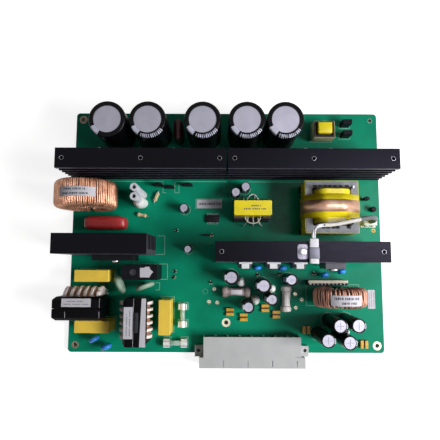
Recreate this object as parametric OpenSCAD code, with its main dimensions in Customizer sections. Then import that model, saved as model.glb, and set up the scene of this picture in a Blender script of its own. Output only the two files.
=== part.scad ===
// Power supply board: a printed board with heatsinks, wound parts, capacitors and an edge connector.
// Frame: origin at the centre of the board's underside, +X to the right, +Y away from the
// edge connector, +Z towards the component side. All sizes are in millimetres.

/* [Board] */
// Width of the board along X
board_w = 270; // [270:1:320]
// Depth of the board along Y
board_d = 210; // [210:1:250]
// Thickness of the board
board_t = 1.6; // [1:0.1:3.2]
// Radius of the board's corners
board_r = 3; // [1:0.5:6]
// Diameter of the fixing holes
hole_d = 3.4; // [2.6:0.1:4.5]
// Distance of the corner holes from the board's edges
hole_inset = 6; // [5:0.5:8]
// Distance of the middle hole from the connector's edge
mid_hole_inset = 25; // [22:1:30]
// Length of the lead tails below the board
tail_h = 2.2; // [1:0.1:4]
// Width of a solder joint at the board
joint_d = 2.8; // [2:0.1:3.5]
// Diameter of a component lead
lead_d = 0.9; // [0.6:0.1:1.2]

/* [Heatsinks] */
// Height of the heatsinks above the board
sink_h = 46; // [42:1:60]
// Depth from the device face to the fin tips
sink_depth = 16; // [12:0.5:18]
// Thickness of the plate that carries the devices
sink_plate = 4; // [3:0.5:6]
// Thickness of the top flange
sink_flange = 4; // [3:0.5:6]
// Thickness of a fin
sink_fin = 1.6; // [1:0.1:2.5]
// Number of fins below the top flange
sink_fins = 6; // [3:1:8]
// Length of the three long heatsinks
sink_long = 134.5; // [132:0.5:136]
// Length of the short heatsink
sink_short = 74; // [60:1:74]
// Diameter of the holes in the top flange
sink_hole_d = 3; // [2.5:0.1:4]
// Distance of the outer flange holes from the heatsink's ends
sink_hole_inset = 5.25; // [4:0.25:15]
// Gap between the two rear heatsinks
sink_gap = 1.3; // [0.5:0.1:3]

/* [Capacitors] */
// Diameter of the large capacitors over the sleeve
bulk_d = 29.5; // [25:0.5:30]
// Height of the large capacitors
bulk_h = 45; // [30:1:50]
// Distance of the large capacitors from the rear device face
bulk_clear = 9; // [8:0.5:12]
// Thickness of a capacitor sleeve
sleeve_t = 0.5; // [0.3:0.1:0.8]
// Diameter of the filter capacitors
filter_d = 12; // [9:0.5:12]
// Height of the filter capacitors
filter_h = 22; // [16:1:30]
// Diameter of the tall output capacitors
output_d = 11; // [8:0.5:12]
// Height of the tall output capacitors
output_h = 38; // [25:1:45]
// Diameter of the low capacitors
low_d = 7.6; // [5:0.1:8]
// Height of the low capacitors
low_h = 13; // [9:1:18]
// Length of a box capacitor
box_cap_l = 28.5; // [26:0.5:29]
// Width of a box capacitor
box_cap_w = 9.8; // [7:0.1:9.8]
// Height of a box capacitor
box_cap_h = 20; // [14:0.5:24]
// Length of the large film capacitor
film_l = 36; // [30:1:38]
// Width of the large film capacitor
film_w = 11.6; // [9:0.2:12]
// Height of the large film capacitor
film_h = 15; // [10:0.5:20]
// Diameter of a thermistor disc
thermistor_d = 17; // [12:0.5:18]
// Diameter of a blue disc capacitor
disc_d = 9.5; // [6:0.5:10]

/* [Chokes] */
// Outer diameter of the input ring core
input_core_od = 47; // [44:0.5:50]
// Inner diameter of the input ring core
input_core_id = 28.8; // [22:0.2:32]
// Width of the input ring core
input_core_w = 18.5; // [16:0.5:22]
// Wire diameter of both ring chokes
ring_wire = 1.6; // [1:0.1:1.7]
// Outer diameter of the output ring core
output_core_od = 39.5; // [38:0.5:43]
// Inner diameter of the output ring core
output_core_id = 24; // [18:0.2:27]
// Width of the output ring core
output_core_w = 11.4; // [10:0.2:15]
// Length of a line choke's core
line_l = 37.5; // [34:0.5:38]
// Width of a line choke's core
line_w = 18.4; // [14:0.2:19]
// Height of a line choke
line_h = 38; // [34:0.5:44]
// Thickness of the core's top bar
line_bar = 5; // [3:0.5:6]
// Thickness of the core's end plates
line_end = 4; // [3:0.5:5]
// Radius of the bobbin's flanges
line_flange_r = 13.6; // [11:0.1:13.6]
// Depth of the winding below the flange edge
line_winding_drop = 2.4; // [0.5:0.1:3]
// Number of winding sections on a line choke
line_sections = 5; // [3:1:7]
// Length of a rod choke
rod_l = 24; // [18:0.5:25]
// Diameter of a rod choke's ends
rod_end_d = 9.4; // [7:0.1:9.6]
// Diameter of a rod choke's sleeved middle
rod_mid_d = 7.2; // [4:0.1:7.6]

/* [Transformers] */
// Width of the main core
main_w = 43; // [40:0.5:44]
// Length of the main core
main_l = 42.4; // [40:0.2:44]
// Thickness of the main core
main_t = 20; // [15:0.5:22]
// Width of the main core's middle leg
main_leg = 12.2; // [10:0.2:14]
// Width of the main core's outer legs
main_side = 6.1; // [5:0.1:7]
// Thickness of the main core's end walls
main_back = 6; // [5:0.1:7]
// Height of the main core above the board
main_lift = 9.5; // [9.5:0.5:14]
// Depth of the main winding above and below the middle leg
main_build = 7.4; // [5:0.1:7.8]
// Width of the tape loop round the main transformer
tape_w = 19; // [12:0.5:22]
// Width of the copper band round the main transformer
band_w = 9.8; // [6:0.2:11]
// Length of the drive transformer's coil
drive_l = 31.2; // [24:0.2:32]
// Width of the drive transformer's coil
drive_w = 12.4; // [9:0.2:13]
// Height of the drive transformer
drive_h = 25; // [20:0.5:30]
// Width of the auxiliary transformer's core
aux_w = 17.6; // [15:0.2:19]
// Depth of the auxiliary transformer's core
aux_d = 14.4; // [14:0.2:18]
// Height of the auxiliary transformer
aux_h = 15; // [11:0.5:18]

/* [Other parts] */
// Length of the relay
relay_l = 29; // [24:0.5:29]
// Width of the relay
relay_w = 12.4; // [10:0.2:12.6]
// Height of the relay
relay_h = 25; // [15:0.5:28]
// Diameter of a fuse's glass tube
fuse_d = 5; // [4.5:0.1:6]
// Length of a fuse
fuse_l = 20; // [16:0.5:22]
// Outer diameter of the upright tubes
tube_d = 6.4; // [5:0.1:7]
// Height of the upright tubes
tube_h = 42; // [20:1:46]
// Height of the terminal strip
strip_h = 13; // [8:0.5:16]

/* [Connector] */
// Spacing of the connector's fixing holes
conn_pitch = 90; // [89:0.5:96]
// Diameter of the connector's fixing holes
conn_hole_d = 2.8; // [2.2:0.1:3.4]
// Height of the connector's body above the board
conn_h = 11; // [10:0.5:14]
// Wall thickness around the connector's mouth
conn_wall = 1.7; // [1:0.1:2.2]
// Spacing of neighbouring contacts along X
blade_pitch = 5.08; // [4.6:0.01:5.08]
// Number of contacts
blade_count = 15; // [7:2:15]
// Distance from the mouth to the blade tips
blade_recess = 5; // [4.6:0.1:8]

/* [Hidden] */
$fn = 48;

// Clearance between neighbouring pieces that meet
fit = 0.05;
// The connector's edge and the fixing holes
edge_y = -board_d / 2;
corner_x = board_w / 2 - hole_inset;
corner_y = board_d / 2 - hole_inset;
mid_hole_y = edge_y + mid_hole_inset;

// Heatsink places: each has its device face on face_y
rear_face_y = 60.5;
rear_sink_x = (sink_long + sink_gap) / 2;
bridge_sink_x = -98.5;
bridge_face_y = -22.5;
output_sink_x = 58;
output_face_y = -28.4;
fin_pitch = (sink_h - sink_flange) / sink_fins;
sink_hole_y = sink_depth / 2;
function sink_hole_x(length) = length / 2 - sink_hole_inset;

// Power devices: wide body, legs and fixing screw
wide_w = 15.8;
wide_h = 21;
wide_t = 5;
wide_bottom = 18;
wide_screw_rise = 15.5;
wide_screw_z = wide_bottom + wide_screw_rise;
rear_bottom = 4.5;
rear_screw_z = rear_bottom + wide_screw_rise;
wide_leg_pitch = 5.45;
small_w = 10.2;
small_t = 4.6;
small_h = 16;
small_bottom = 12;
small_leg_pitch = 2.54;
screw_d = 3;
screw_head_d = 5.8;
screw_head_h = 2;
screw_grip = 3;
rear_device_x = [-107, -74, -45, 27, 66.5, 87.5];
clip_device_x = [14.8, 37.2, 58.4];
wide_output_x = 84.8;
clip_w = 10.6;
clip_t = 1.5;
clip_nose_w = 6;
clip_nose_t = 3.6;
clip_h = 7;
bridge_w = 34;
bridge_h = 20;
bridge_t = 4.8;
bridge_x = -92;
bridge_bottom = 7;
bridge_leg_pitch = 9;

// Row of large capacitors and what follows it along X
bulk_x0 = -95.5;
bulk_gaps = [2.6, 14.3, 5.8, 1.2];
bulk_count = len(bulk_gaps) + 1;
bulk_y = rear_face_y + bulk_clear + bulk_d / 2;
bulk_pin = 5;
function bulk_x(i) = i == 0 ? bulk_x0 : bulk_x(i - 1) + bulk_d + bulk_gaps[i - 1];
lip_share = 0.745;
small_lip_share = 0.84;
filter_lip_share = 0.75;
vent_w = 0.35;
vent_d = 0.4;
film_small = [8, 17, 20];
film_small_x = (bulk_x(1) + bulk_x(2)) / 2;
aux_gap = 14.75;
aux_x = bulk_x(bulk_count - 1) + bulk_d / 2 + aux_gap + aux_w / 2;
aux_y = 86.6;
module_size = [8, 4.2, 11];
module_gap = 8.4;
module_x = aux_x + aux_w / 2 + module_gap + module_size.x / 2;
module_y = [84.8, 94.6];

// Places of the other capacitors
filter_at = [[4.1, -40.9], [30.5, -47.6], [53.3, -42.7], [37.2, -58.6], [17.9, -64.8]];
filter_cut = [1, 1, 0.82, 0.82, 0.82];
output_at = [[87.7, -77.3], [101.9, -77], [78.2, -88.4], [94.8, -89.9]];
low_at = [[-36.3, 17.6], [-33, -17.4], [16.5, 36], [8, 31.2]];
low_cut = [1, 0.75, 1.1, 1.1];
box_cap_at = [[-111, -40, 0], [-109.5, -81.2, 0], [-50.5, -73.5, 90]];
film_at = [-103, 4.5];
film_stand = 1.5;
thermistor_at = [[-89.4, -47, -64], [-68.4, -48.6, 19]];
thermistor_t = 4.6;
disc_at = [[-110.6, -92.8, 26], [-100.3, -99.2, 20], [26.4, -33, 8], [47.8, -33.4, 8], [83.8, -38.8, 12],
           [98.5, -36, 12]];
disc_share = [1, 1, 0.8, 0.8, 0.75, 0.75];
disc_t = 4;
disc_stand = 3;
chip_cap = [6.4, 6.4, 1.4];
chip_bar = [6.4, 2.5, 1.2];
chip_cap_at = [[3.3, -70.8, 0], [14.9, -75.2, 0], [33.5, -67.5, 0], [42.9, -72.8, 0], [68.4, -85.7, 90],
               [117.4, -97.5, 90]];

// Places of the chokes
input_choke_at = [-115.8, 25.9];
output_choke_at = [92, -56.4];
wire_gap = 0.1;
ring_round = 0.25;
line_choke_at = [[-116.8, -64.8, 0], [-71.4, -75.2, 90]];
line_axis_z = 15.2;
line_offset = 2.8;
line_leg_d = 9;
line_tube_t = 1.2;
line_flange_t = 2.2;
line_end_flange_t = 2.4;
line_foot_w = 20;
rod_at = [[8.6, -53.6, 0], [51, -59.3, 87]];
rod_short = [0, 2.4];
rod_end_l = 5;

// Main transformer
main_at = [85.5, 16.6];
main_mid_z = main_lift + main_t / 2;
main_tube_t = 1;
main_flange_t = 1.5;
main_coil_gap = 0.9;
main_coil_w = main_w - 2 * (main_side + main_coil_gap);
main_coil_h = main_t + 2 * (main_build + main_tube_t);
main_coil_l = main_l - 2 * (main_back + main_flange_t + fit);
main_coil_r = 9;
tape_t = 0.4;
band_t = 0.3;
main_rail_d = main_back - 0.5;

// Drive and auxiliary transformers
drive_at = [21.6, 16.3];
drive_base_h = 5;
drive_base_margin = 3.5;
drive_leg_w = 7;
drive_leg_h = 11;
drive_leg_out = 2;
drive_lead_d = 1;
// Leads in front and behind: along X, away from the coil's face, above the board
drive_front = [
    [[-3.2, 0, 12], [-3.6, 2.6, 11.6], [-4.8, 5, 9], [-6.4, 6.4, 5], [-7.2, 6.8, 2], [-7.2, 6.8, 0]],
    [[1, 0, 12], [1.2, 2.8, 11.4], [1.6, 5.4, 8], [1.9, 6.4, 4], [2, 6.6, 2], [2, 6.6, 0]],
    [[5.2, 0, 12], [5.6, 2.6, 11.6], [6.6, 5, 9], [8, 6.2, 5], [8.6, 6.5, 2], [8.6, 6.5, 0]],
    [[-5.6, 0, 14.6], [-5.2, 2.6, 14.5], [-3, 4.8, 14.2], [0.6, 5.8, 14], [4.2, 5, 14.2], [6.6, 2.8, 14.5],
     [7.2, 0, 14.6]]];
drive_rear = [
    [[-6.4, 0, 11], [-6.6, 2.8, 10.6], [-7, 5.2, 8], [-7.2, 6.4, 4], [-7.2, 6.6, 2], [-7.2, 6.6, 0]],
    [[2.4, 0, 11], [2.6, 3, 10.4], [3, 5.4, 8], [3.2, 6.4, 4], [3.2, 6.6, 2], [3.2, 6.6, 0]],
    [[-4, 0, 14], [-3.6, 3, 13.8], [-1.6, 5.6, 13.4], [1, 6.8, 13.2], [3.4, 5.4, 13.4], [5, 2.8, 13.8],
     [5.4, 0, 14]]];
aux_frame = 1.4;
aux_side_gap = 1.4;
aux_front_gap = 1.6;
aux_back_gap = 0.3;
aux_bar_d = 1.2;
aux_rise = 1.2;
aux_base_h = 3;

// Other parts
relay_at = [-70.5, -36.9];
fuse_at = [[-37, -73.5, 90], [-43, -96.5, 0]];
fuse_cap_l = 5.4;
fuse_cap_t = 0.4;
fuse_lift = 1.6;
clip_base = 0.8;
clip_prong = 0.9;
tube_at = [[-73.4, 30.3], [-73.3, 22.9]];
tube_bore = 3;
strip_at = [85.2, -45.4];
strip_size = [33.4, 4.2];
strip_cap_d = 2.4;
strip_cap_h = 1.4;
bead_at = [[12.4, -45.2, 3.6, 12], [38.4, -50.6, 3.4, 11], [25.2, -60.4, 3.6, 8], [96, -83.4, 3, 30]];
tube_bead_r = tube_d / 2 + 1;
tube_bead_h = tube_h * 0.55;
package_at = [[-12, 9.5, 11.8, 6.4, 2.2], [-60, 39, 9, 4.4, 9], [-49.8, 37, 9, 4.4, 9],
              [-34, 39, 9, 4.4, 9],
              [121.4, 28.4, 5, 5.2, 9], [128.2, 18, 4.6, 4.6, 6], [-17.6, -4.8, 6, 3.4, 3.4]];
axial_at = [[-61.6, 28.6, 70], [-74, 12.4, -12]];
axial_l = [6.4, 8.6];
axial_d = 3.6;

// Thermal sensor on the middle hole of the output heatsink
sensor_size = [7.8, 19, 4];
sensor_x = output_sink_x + 7.9;
sensor_y = output_face_y + sink_depth - 7.5;
sensor_tab_w = 8.4;
sensor_tab_d = 11.6;
sensor_tab_t = 1;
sensor_top = board_t + sink_h;
plug_at = [122.8, 6.2];
header_size = [13, 8.4, 5];
plug_size = [11, 6.4, 7];
plug_top = board_t + header_size.z + plug_size.z;
wire_d = 1.6;
sleeve_d = 3.4;
wire_rise = sensor_top + sensor_size.z / 2;
wire_start_y = sensor_y + sensor_size.y / 2;
wire_route = [[0, 0, 0], [0, 2, 0], [0.3, 5, 0], [1.4, 7.5, -1.2], [3.6, 9.4, -2.6], [6.6, 10.4, -3.6],
              [9.6, 10.8, -4]];
wire_side = [[1, 0], [1, 0], [0.98, 0.2], [0.85, 0.53], [0.6, 0.8], [0.3, 0.95], [0.1, 1]];
wire_spread = wire_d * 0.45;
sleeve_route = [[0, 0], [5, 0.3], [10, 0.9], [15, 1.7], [20, 2.6], [25, 3.5], [30, 4.4], [35, 5.2],
                [40, 5.7], [44, 5.8], [46.4, 5.5], [47.5, 5], [47.5, 5]];
sleeve_drop = [0, 0.3, 0.5, 0.6, 0.7, 0.9, 1.6, 3.2, 6.6, 12, 18.4, 25, 31.6];

// Edge connector
conn_x = 21.6;
conn_body_w = conn_pitch - 9;
conn_front_w = conn_pitch - 2;
conn_rear_y = edge_y + 14.7;
conn_step_y = edge_y - 2;
conn_front_y = edge_y - 10.6;
conn_ear_y = edge_y + 2.6;
conn_ear = [3, 9, 4];
conn_mouth_depth = 15;
conn_roof = 1.6;
conn_groove = [0.8, 5.1, 0.5];
conn_groove_x = conn_x + 6;
conn_groove_pitch = 4 * blade_pitch;
conn_notch = [5, 0.8, 0.6];
conn_bay_pitch = 2 * blade_pitch;
conn_bay_w = conn_bay_pitch - 1.8;
conn_bay_d = 3.4;
blade_w = 4.2;
blade_t = 0.8;
blade_row_z = [conn_wall + 1.2, conn_h - conn_wall - 1.2 - blade_t];
conn_mouth_y = conn_front_y + conn_mouth_depth;
conn_top = board_t + conn_h;
function blade_x(i) = conn_x + (i - (blade_count - 1) / 2) * blade_pitch;
function blade_z(i) = blade_row_z[(i + 1) % 2];
function blade_leg_y(i) = i % 2 == 0 ? conn_rear_y - conn_bay_d / 2 : conn_mouth_y + 3.2;

// Common shapes
module at(p, z = 0) {
    translate([p[0], p[1], board_t + z]) rotate([0, 0, len(p) > 2 ? p[2] : 0]) children();
}
module block(size) {
    translate([-size.x / 2, -size.y / 2, 0]) cube(size);
}
module rounded_rect(w, d, r) {
    square([w - 2 * r, d], center = true);
    square([w, d - 2 * r], center = true);
    for (sx = [-1, 1], sy = [-1, 1])
        translate([sx * (w / 2 - r), sy * (d / 2 - r)]) circle(r);
}
module pillow(size, r) {
    intersection() {
        linear_extrude(size.z) rounded_rect(size.x, size.y, r);
        translate([-size.x / 2, 0, size.z / 2]) rotate([90, 0, 90])
            linear_extrude(size.x) rounded_rect(size.y, size.z, r);
    }
}
module can(d, h, vents) {
    r = d / 2 - sleeve_t - fit;
    difference() {
        cylinder(r = r, h = h - sleeve_t - fit);
        for (a = vents)
            rotate([0, 0, a]) translate([-r * 0.55, -vent_w / 2, h - sleeve_t - vent_d])
                cube([r * 1.1, vent_w, vent_d]);
    }
}
module sleeve(d, h, share) {
    r = d / 2;
    rotate_extrude() {
        translate([r - sleeve_t, 0]) square([sleeve_t, h]);
        translate([r * share, h - sleeve_t]) square([r - r * share, sleeve_t]);
    }
}
// A tube through a list of points; the reference direction is never parallel to any of the routes
tube_sides = 8;
tube_ref = [1, -1, 1] / sqrt(3);
function unit(v) = v / norm(v);
function tangent(p, i) = unit(p[min(i + 1, len(p) - 1)] - p[max(i - 1, 0)]);
function ring(p, i, r) = let (t = tangent(p, i), u = unit(cross(t, tube_ref)), v = cross(t, u))
    [for (k = [0 : tube_sides - 1]) let (a = 360 * k / tube_sides) p[i] + r * (cos(a) * u + sin(a) * v)];
module tube(p, d) {
    n = tube_sides;
    last = (len(p) - 1) * n;
    points = [for (i = [0 : len(p) - 1]) each ring(p, i, d / 2)];
    sides = [for (i = [0 : len(p) - 2], k = [0 : n - 1], half = [0, 1])
        half == 0 ? [i * n + k, (i + 1) * n + k, (i + 1) * n + (k + 1) % n]
            : [i * n + k, (i + 1) * n + (k + 1) % n, i * n + (k + 1) % n]];
    ends = [[for (k = [0 : n - 1]) k], [for (k = [n - 1 : -1 : 0]) last + k]];
    polyhedron(points, concat(ends, sides));
}

// Lead positions on the board, worked out from each part's own place
function turned(p, q) = let (a = len(p) > 2 ? p[2] : 0)
    [p[0] + q[0] * cos(a) - q[1] * sin(a), p[1] + q[0] * sin(a) + q[1] * cos(a)];
function pair(list, s) = [for (p = list, e = [-1, 1]) turned(p, [e * s / 2, 0])];
function grid(p, nx, dx, dy) =
    [for (i = [0 : nx - 1], e = [-1, 1]) turned(p, [(i - (nx - 1) / 2) * dx, e * dy / 2])];
device_legs = [for (x = rear_device_x, i = [-1 : 1]) [x + i * wide_leg_pitch, rear_face_y + wide_t / 2]];
clip_legs = [for (x = clip_device_x, i = [-1 : 1]) [x + i * small_leg_pitch, output_face_y - small_t / 2]];
wide_legs = [for (i = [-1 : 1]) [wide_output_x + i * wide_leg_pitch, output_face_y - wide_t / 2]];
bridge_legs = [for (i = [-1.5 : 1.5]) [bridge_x + i * bridge_leg_pitch, bridge_face_y - bridge_t / 2]];
thermistor_pitch = 7.5;
thermistor_legs = pair(thermistor_at, thermistor_pitch);
function disc_size(i) = disc_d * disc_share[i];
function disc_pitch(i) = disc_size(i) * 0.6;
function leg_reach(d, pitch) = disc_stand + 0.8 + d / 2 - sqrt(d * d - pitch * pitch) / 2;
film_legs = concat(pair([film_at], film_l - 8), [for (e = [-1, 1]) [film_small_x, bulk_y + e * 5]]);
function line_middle(c) = let (m = turned(c, [0, line_offset])) [m[0], m[1], c[2]];
blade_legs = [for (i = [0 : blade_count - 1]) [blade_x(i), blade_leg_y(i)]];
seated_pins = concat(
    [for (i = [0 : bulk_count - 1], e = [-1, 1]) [bulk_x(i) + e * bulk_pin, bulk_y]],
    pair(filter_at, 5), pair(output_at, 5), pair(low_at, 3), pair(box_cap_at, 22.5), pair(rod_at, 12),
    grid([aux_x, aux_y], 4, 4, 12), [for (y = module_y) each grid([module_x, y], 2, 5, 3.2)],
    grid(main_at, 6, 6, main_l - main_rail_d), grid(drive_at, 5, 6, drive_w + 3.4),
    [for (c = line_choke_at) each grid(line_middle(c), 2, line_l - 2 * line_end - line_end_flange_t, 14)],
    grid(input_choke_at, 2, 8, 20), grid(output_choke_at, 2, 6, 11),
    grid(relay_at, 3, 10, 7.5), [for (f = fuse_at) each grid(f, 2, fuse_l - fuse_cap_l, 4)],
    tube_at, [for (i = [0 : 9]) [strip_at.x + (i - 4.5) * 3.2, strip_at.y]], pair([plug_at], 5),
    [for (s = [-1, 0, 1], x = [-rear_sink_x, rear_sink_x]) [x + s * 50, rear_face_y - sink_plate / 2]],
    [for (s = [-1, 0, 1]) [output_sink_x + s * 50, output_face_y + sink_plate / 2]],
    [for (s = [-1, 1]) [bridge_sink_x + s * 30, bridge_face_y + sink_plate / 2]],
    [for (p = package_at) if (p[4] > 3) each pair([[p[0], p[1]]], 2.54)],
    pair(axial_at, 12));
raised_legs = [
    [device_legs, rear_bottom], [clip_legs, small_bottom], [wide_legs, wide_bottom],
    [bridge_legs, bridge_bottom],
    [thermistor_legs, leg_reach(thermistor_d, thermistor_pitch)], [film_legs, film_stand + 3],
    for (i = [0 : len(disc_at) - 1])
        [pair([disc_at[i]], disc_pitch(i)), leg_reach(disc_size(i), disc_pitch(i))]];
all_pins = concat(seated_pins, blade_legs, [for (g = raised_legs) each g[0]]);

// Board, joints and legs
module circuit_board() {
    color("seagreen") difference() {
        linear_extrude(board_t) rounded_rect(board_w, board_d, board_r);
        for (sx = [-1, 1], sy = [-1, 1])
            translate([sx * corner_x, sy * corner_y, -1]) cylinder(d = hole_d, h = board_t + 2);
        translate([0, mid_hole_y, -1]) cylinder(d = hole_d, h = board_t + 2);
        for (s = [-1, 1])
            translate([conn_x + s * conn_pitch / 2, conn_ear_y, -1])
                cylinder(d = conn_hole_d, h = board_t + 2);
    }
}
module solder_joint() {
    mid_h = tail_h * 0.55;
    rotate_extrude($fn = 16)
        polygon([[0, 0], [joint_d / 2, 0], [lead_d / 2, -mid_h], [lead_d / 2, -tail_h], [0, -tail_h]]);
}
module solder_joints() {
    color("silver") for (p = all_pins) translate([p[0], p[1], 0]) solder_joint();
}
module component_leads() {
    color("gainsboro") for (g = raised_legs, p = g[0]) at(p) cylinder(d = lead_d, h = g[1] - fit, $fn = 16);
}

// Capacitors
module bulk_capacitor_cans() {
    color("lightgray") for (i = [0 : bulk_count - 1]) at([bulk_x(i), bulk_y]) can(bulk_d, bulk_h, []);
}
module bulk_capacitor_sleeves() {
    color("#202226") for (i = [0 : bulk_count - 1]) at([bulk_x(i), bulk_y]) sleeve(bulk_d, bulk_h, lip_share);
}
module each_small_capacitor(part) {
    for (i = [0 : len(filter_at) - 1])
        at(filter_at[i]) small_capacitor(part, filter_d * filter_cut[i], filter_h, filter_lip_share);
    for (p = output_at) at(p) small_capacitor(part, output_d, output_h, small_lip_share);
    for (i = [0 : len(low_at) - 1])
        at(low_at[i])
            small_capacitor(part, low_d * sqrt(low_cut[i]), low_h * low_cut[i], small_lip_share);
}
module small_capacitor(part, d, h, share) {
    if (part == "can") can(d, h, [0, 90]);
    else sleeve(d, h, share);
}
module small_capacitor_cans() {
    color("lightgray") each_small_capacitor("can");
}
module small_capacitor_sleeves() {
    color("#202226") each_small_capacitor("sleeve");
}
module film_capacitor_large() {
    color("firebrick") at(film_at, film_stand) difference() {
        pillow([film_l, film_w, film_h], film_w / 3);
        for (s = [-1, 1]) translate([s * (film_l - 8) / 2, 0, -1]) cylinder(d = lead_d + 2 * fit, h = 4);
    }
}
module film_capacitor_small() {
    color("#6b2226") at([film_small_x, bulk_y], film_stand) difference() {
        rotate([0, 0, 90]) pillow([film_small.y, film_small.x, film_small.z], film_small.x / 2 - 0.3);
        for (s = [-1, 1]) translate([0, s * 5, -1]) cylinder(d = lead_d + 2 * fit, h = 4);
    }
}
module box_capacitors() {
    color("goldenrod") for (p = box_cap_at) at(p) pillow_box([box_cap_l, box_cap_w, box_cap_h], 0.8);
}
module pillow_box(size, r) {
    linear_extrude(size.z) rounded_rect(size.x, size.y, r);
}
// A disc on edge, standing on its two legs
module edge_disc(d, t, pitch) {
    difference() {
        translate([0, t / 2, disc_stand + d / 2]) rotate([90, 0, 0]) cylinder(d = d, h = t);
        for (s = [-1, 1])
            translate([s * pitch / 2, 0, 0]) cylinder(d = lead_d + 2 * fit, h = leg_reach(d, pitch));
    }
}
module disc_capacitors() {
    color("#2d7fc4") for (i = [0 : len(disc_at) - 1])
        at(disc_at[i]) edge_disc(disc_size(i), disc_t, disc_pitch(i));
}
module thermistor_discs() {
    color("#8fb39a") for (p = thermistor_at)
        at(p) edge_disc(thermistor_d, thermistor_t, thermistor_pitch);
}
module chip_capacitors() {
    color("#5a3a10") for (p = chip_cap_at) at(p) block(chip_cap);
}
module chip_capacitor_bars() {
    color("#d8a93a") for (p = chip_cap_at, s = [-1, 1])
        at(p, chip_cap.z) translate([0, s * (chip_cap.y - chip_bar.y) / 2, 0]) block(chip_bar);
}

// Heatsinks: the device face is at y = 0 and the fins point to +Y
module sink(length, holes) {
    difference() {
        translate([-length / 2, 0, 0]) rotate([90, 0, 90]) linear_extrude(length) {
            square([sink_plate, sink_h]);
            translate([0, sink_h - sink_flange]) square([sink_depth, sink_flange]);
            for (i = [0 : sink_fins - 1])
                translate([0, i * fin_pitch]) square([sink_depth, sink_fin]);
        }
        for (i = holes)
            translate([i * sink_hole_x(length), sink_hole_y, sink_h - sink_flange - 1])
                cylinder(d = sink_hole_d, h = sink_flange + 2);
        children();
    }
}
module screw_bore(x, z) {
    translate([x, -1, z]) rotate([-90, 0, 0]) cylinder(d = screw_d + 2 * fit, h = screw_grip + 1 + fit);
}
module rear_sink(x) {
    color("#17181b") at([x, rear_face_y, 180]) sink(sink_long, [-1, 0, 1])
        for (d = rear_device_x) screw_bore(x - d, rear_screw_z);
}
module left_heatsink() {
    rear_sink(-rear_sink_x);
}
module right_heatsink() {
    rear_sink(rear_sink_x);
}
module bridge_heatsink() {
    color("#17181b") at([bridge_sink_x, bridge_face_y]) sink(sink_short, [])
        screw_bore(bridge_x - bridge_sink_x, bridge_bottom + bridge_h / 2);
}
module output_heatsink() {
    color("#1e1f24") at([output_sink_x, output_face_y]) sink(sink_long, [-1, 0, 1])
        screw_bore(wide_output_x - output_sink_x, wide_screw_z);
}

// Power devices: the back of each is at y = 0 and its front faces -Y
module device(w, t, h, z, screw_z) {
    difference() {
        translate([-w / 2, -t, z]) cube([w, t, h]);
        translate([0, 1, screw_z]) rotate([90, 0, 0]) cylinder(d = screw_d + 2 * fit, h = t + 2);
    }
}
module device_screw(t, z) {
    translate([0, -t, z]) rotate([90, 0, 0]) cylinder(d = screw_head_d, h = screw_head_h);
    translate([0, screw_grip, z]) rotate([90, 0, 0]) cylinder(d = screw_d, h = t + screw_grip);
}
module power_transistors() {
    color("#26282c") for (x = rear_device_x)
        at([x, rear_face_y, 180]) device(wide_w, wide_t, wide_h, rear_bottom, rear_screw_z);
}
module bridge_rectifier() {
    color("#2b2d31") at([bridge_x, bridge_face_y])
        device(bridge_w, bridge_t, bridge_h, bridge_bottom, bridge_bottom + bridge_h / 2);
}
module output_rectifiers() {
    color("#26282c") {
        for (x = clip_device_x) at([x, output_face_y])
            translate([-small_w / 2, -small_t, small_bottom]) cube([small_w, small_t, small_h]);
        at([wide_output_x, output_face_y]) device(wide_w, wide_t, wide_h, wide_bottom, wide_screw_z);
    }
}
module rectifier_clips() {
    color("white") for (x = clip_device_x) at([x, output_face_y], small_bottom + small_h) {
        translate([-clip_w / 2, -clip_t, 0]) cube([clip_w, clip_t, clip_h]);
        translate([-clip_nose_w / 2, -clip_t - clip_nose_t, 0])
            cube([clip_nose_w, clip_nose_t, clip_h * 0.6]);
    }
}
module device_screws() {
    color("silver") {
        for (x = rear_device_x) at([x, rear_face_y, 180]) device_screw(wide_t, rear_screw_z);
        at([bridge_x, bridge_face_y]) device_screw(bridge_t, bridge_bottom + bridge_h / 2);
        at([wide_output_x, output_face_y]) device_screw(wide_t, wide_screw_z);
        at([output_sink_x, output_face_y + sink_hole_y], sink_h + sensor_tab_t) {
            cylinder(d = screw_head_d, h = screw_head_h);
            translate([0, 0, -sensor_tab_t - sink_flange])
                cylinder(d = sink_hole_d - 2 * fit, h = sensor_tab_t + sink_flange);
        }
    }
}

// Ring chokes stand on edge with their axis along Y
module ring_core(od, id, w) {
    rotate([90, 0, 0]) rotate_extrude($fn = 96)
        translate([(od + id) / 4, 0]) rounded_rect((od - id) / 2, w, ring_round * (od - id) / 2);
}
module ring_winding(od, id, w) {
    section = (od - id) / 2 + 2 * wire_gap;
    outer_w = w + 2 * wire_gap;
    inner_r = ring_round * (od - id) / 2 + wire_gap;
    turns = floor(PI * (id - 2 * wire_gap - 2 * ring_wire) / (ring_wire + 0.1));
    for (i = [0 : turns - 1])
        rotate([0, 90 + i * 360 / turns, 0]) translate([(od + id) / 4, 0, -ring_wire / 2])
            linear_extrude(ring_wire) difference() {
                rounded_rect(section + 2 * ring_wire, outer_w + 2 * ring_wire, inner_r + ring_wire);
                rounded_rect(section, outer_w, inner_r);
            }
}
function ring_lift(od) = od / 2 + wire_gap + ring_wire;
module input_choke_core() {
    color("#8d8f86") at(input_choke_at, ring_lift(input_core_od))
        ring_core(input_core_od, input_core_id, input_core_w);
}
module input_choke_winding() {
    color("#b5703c") at(input_choke_at, ring_lift(input_core_od))
        ring_winding(input_core_od, input_core_id, input_core_w);
}
module output_choke_core() {
    color("#8d8f86") at(output_choke_at, ring_lift(output_core_od))
        ring_core(output_core_od, output_core_id, output_core_w);
}
module output_choke_winding() {
    color("#b5703c") at(output_choke_at, ring_lift(output_core_od))
        ring_winding(output_core_od, output_core_id, output_core_w);
}
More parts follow.
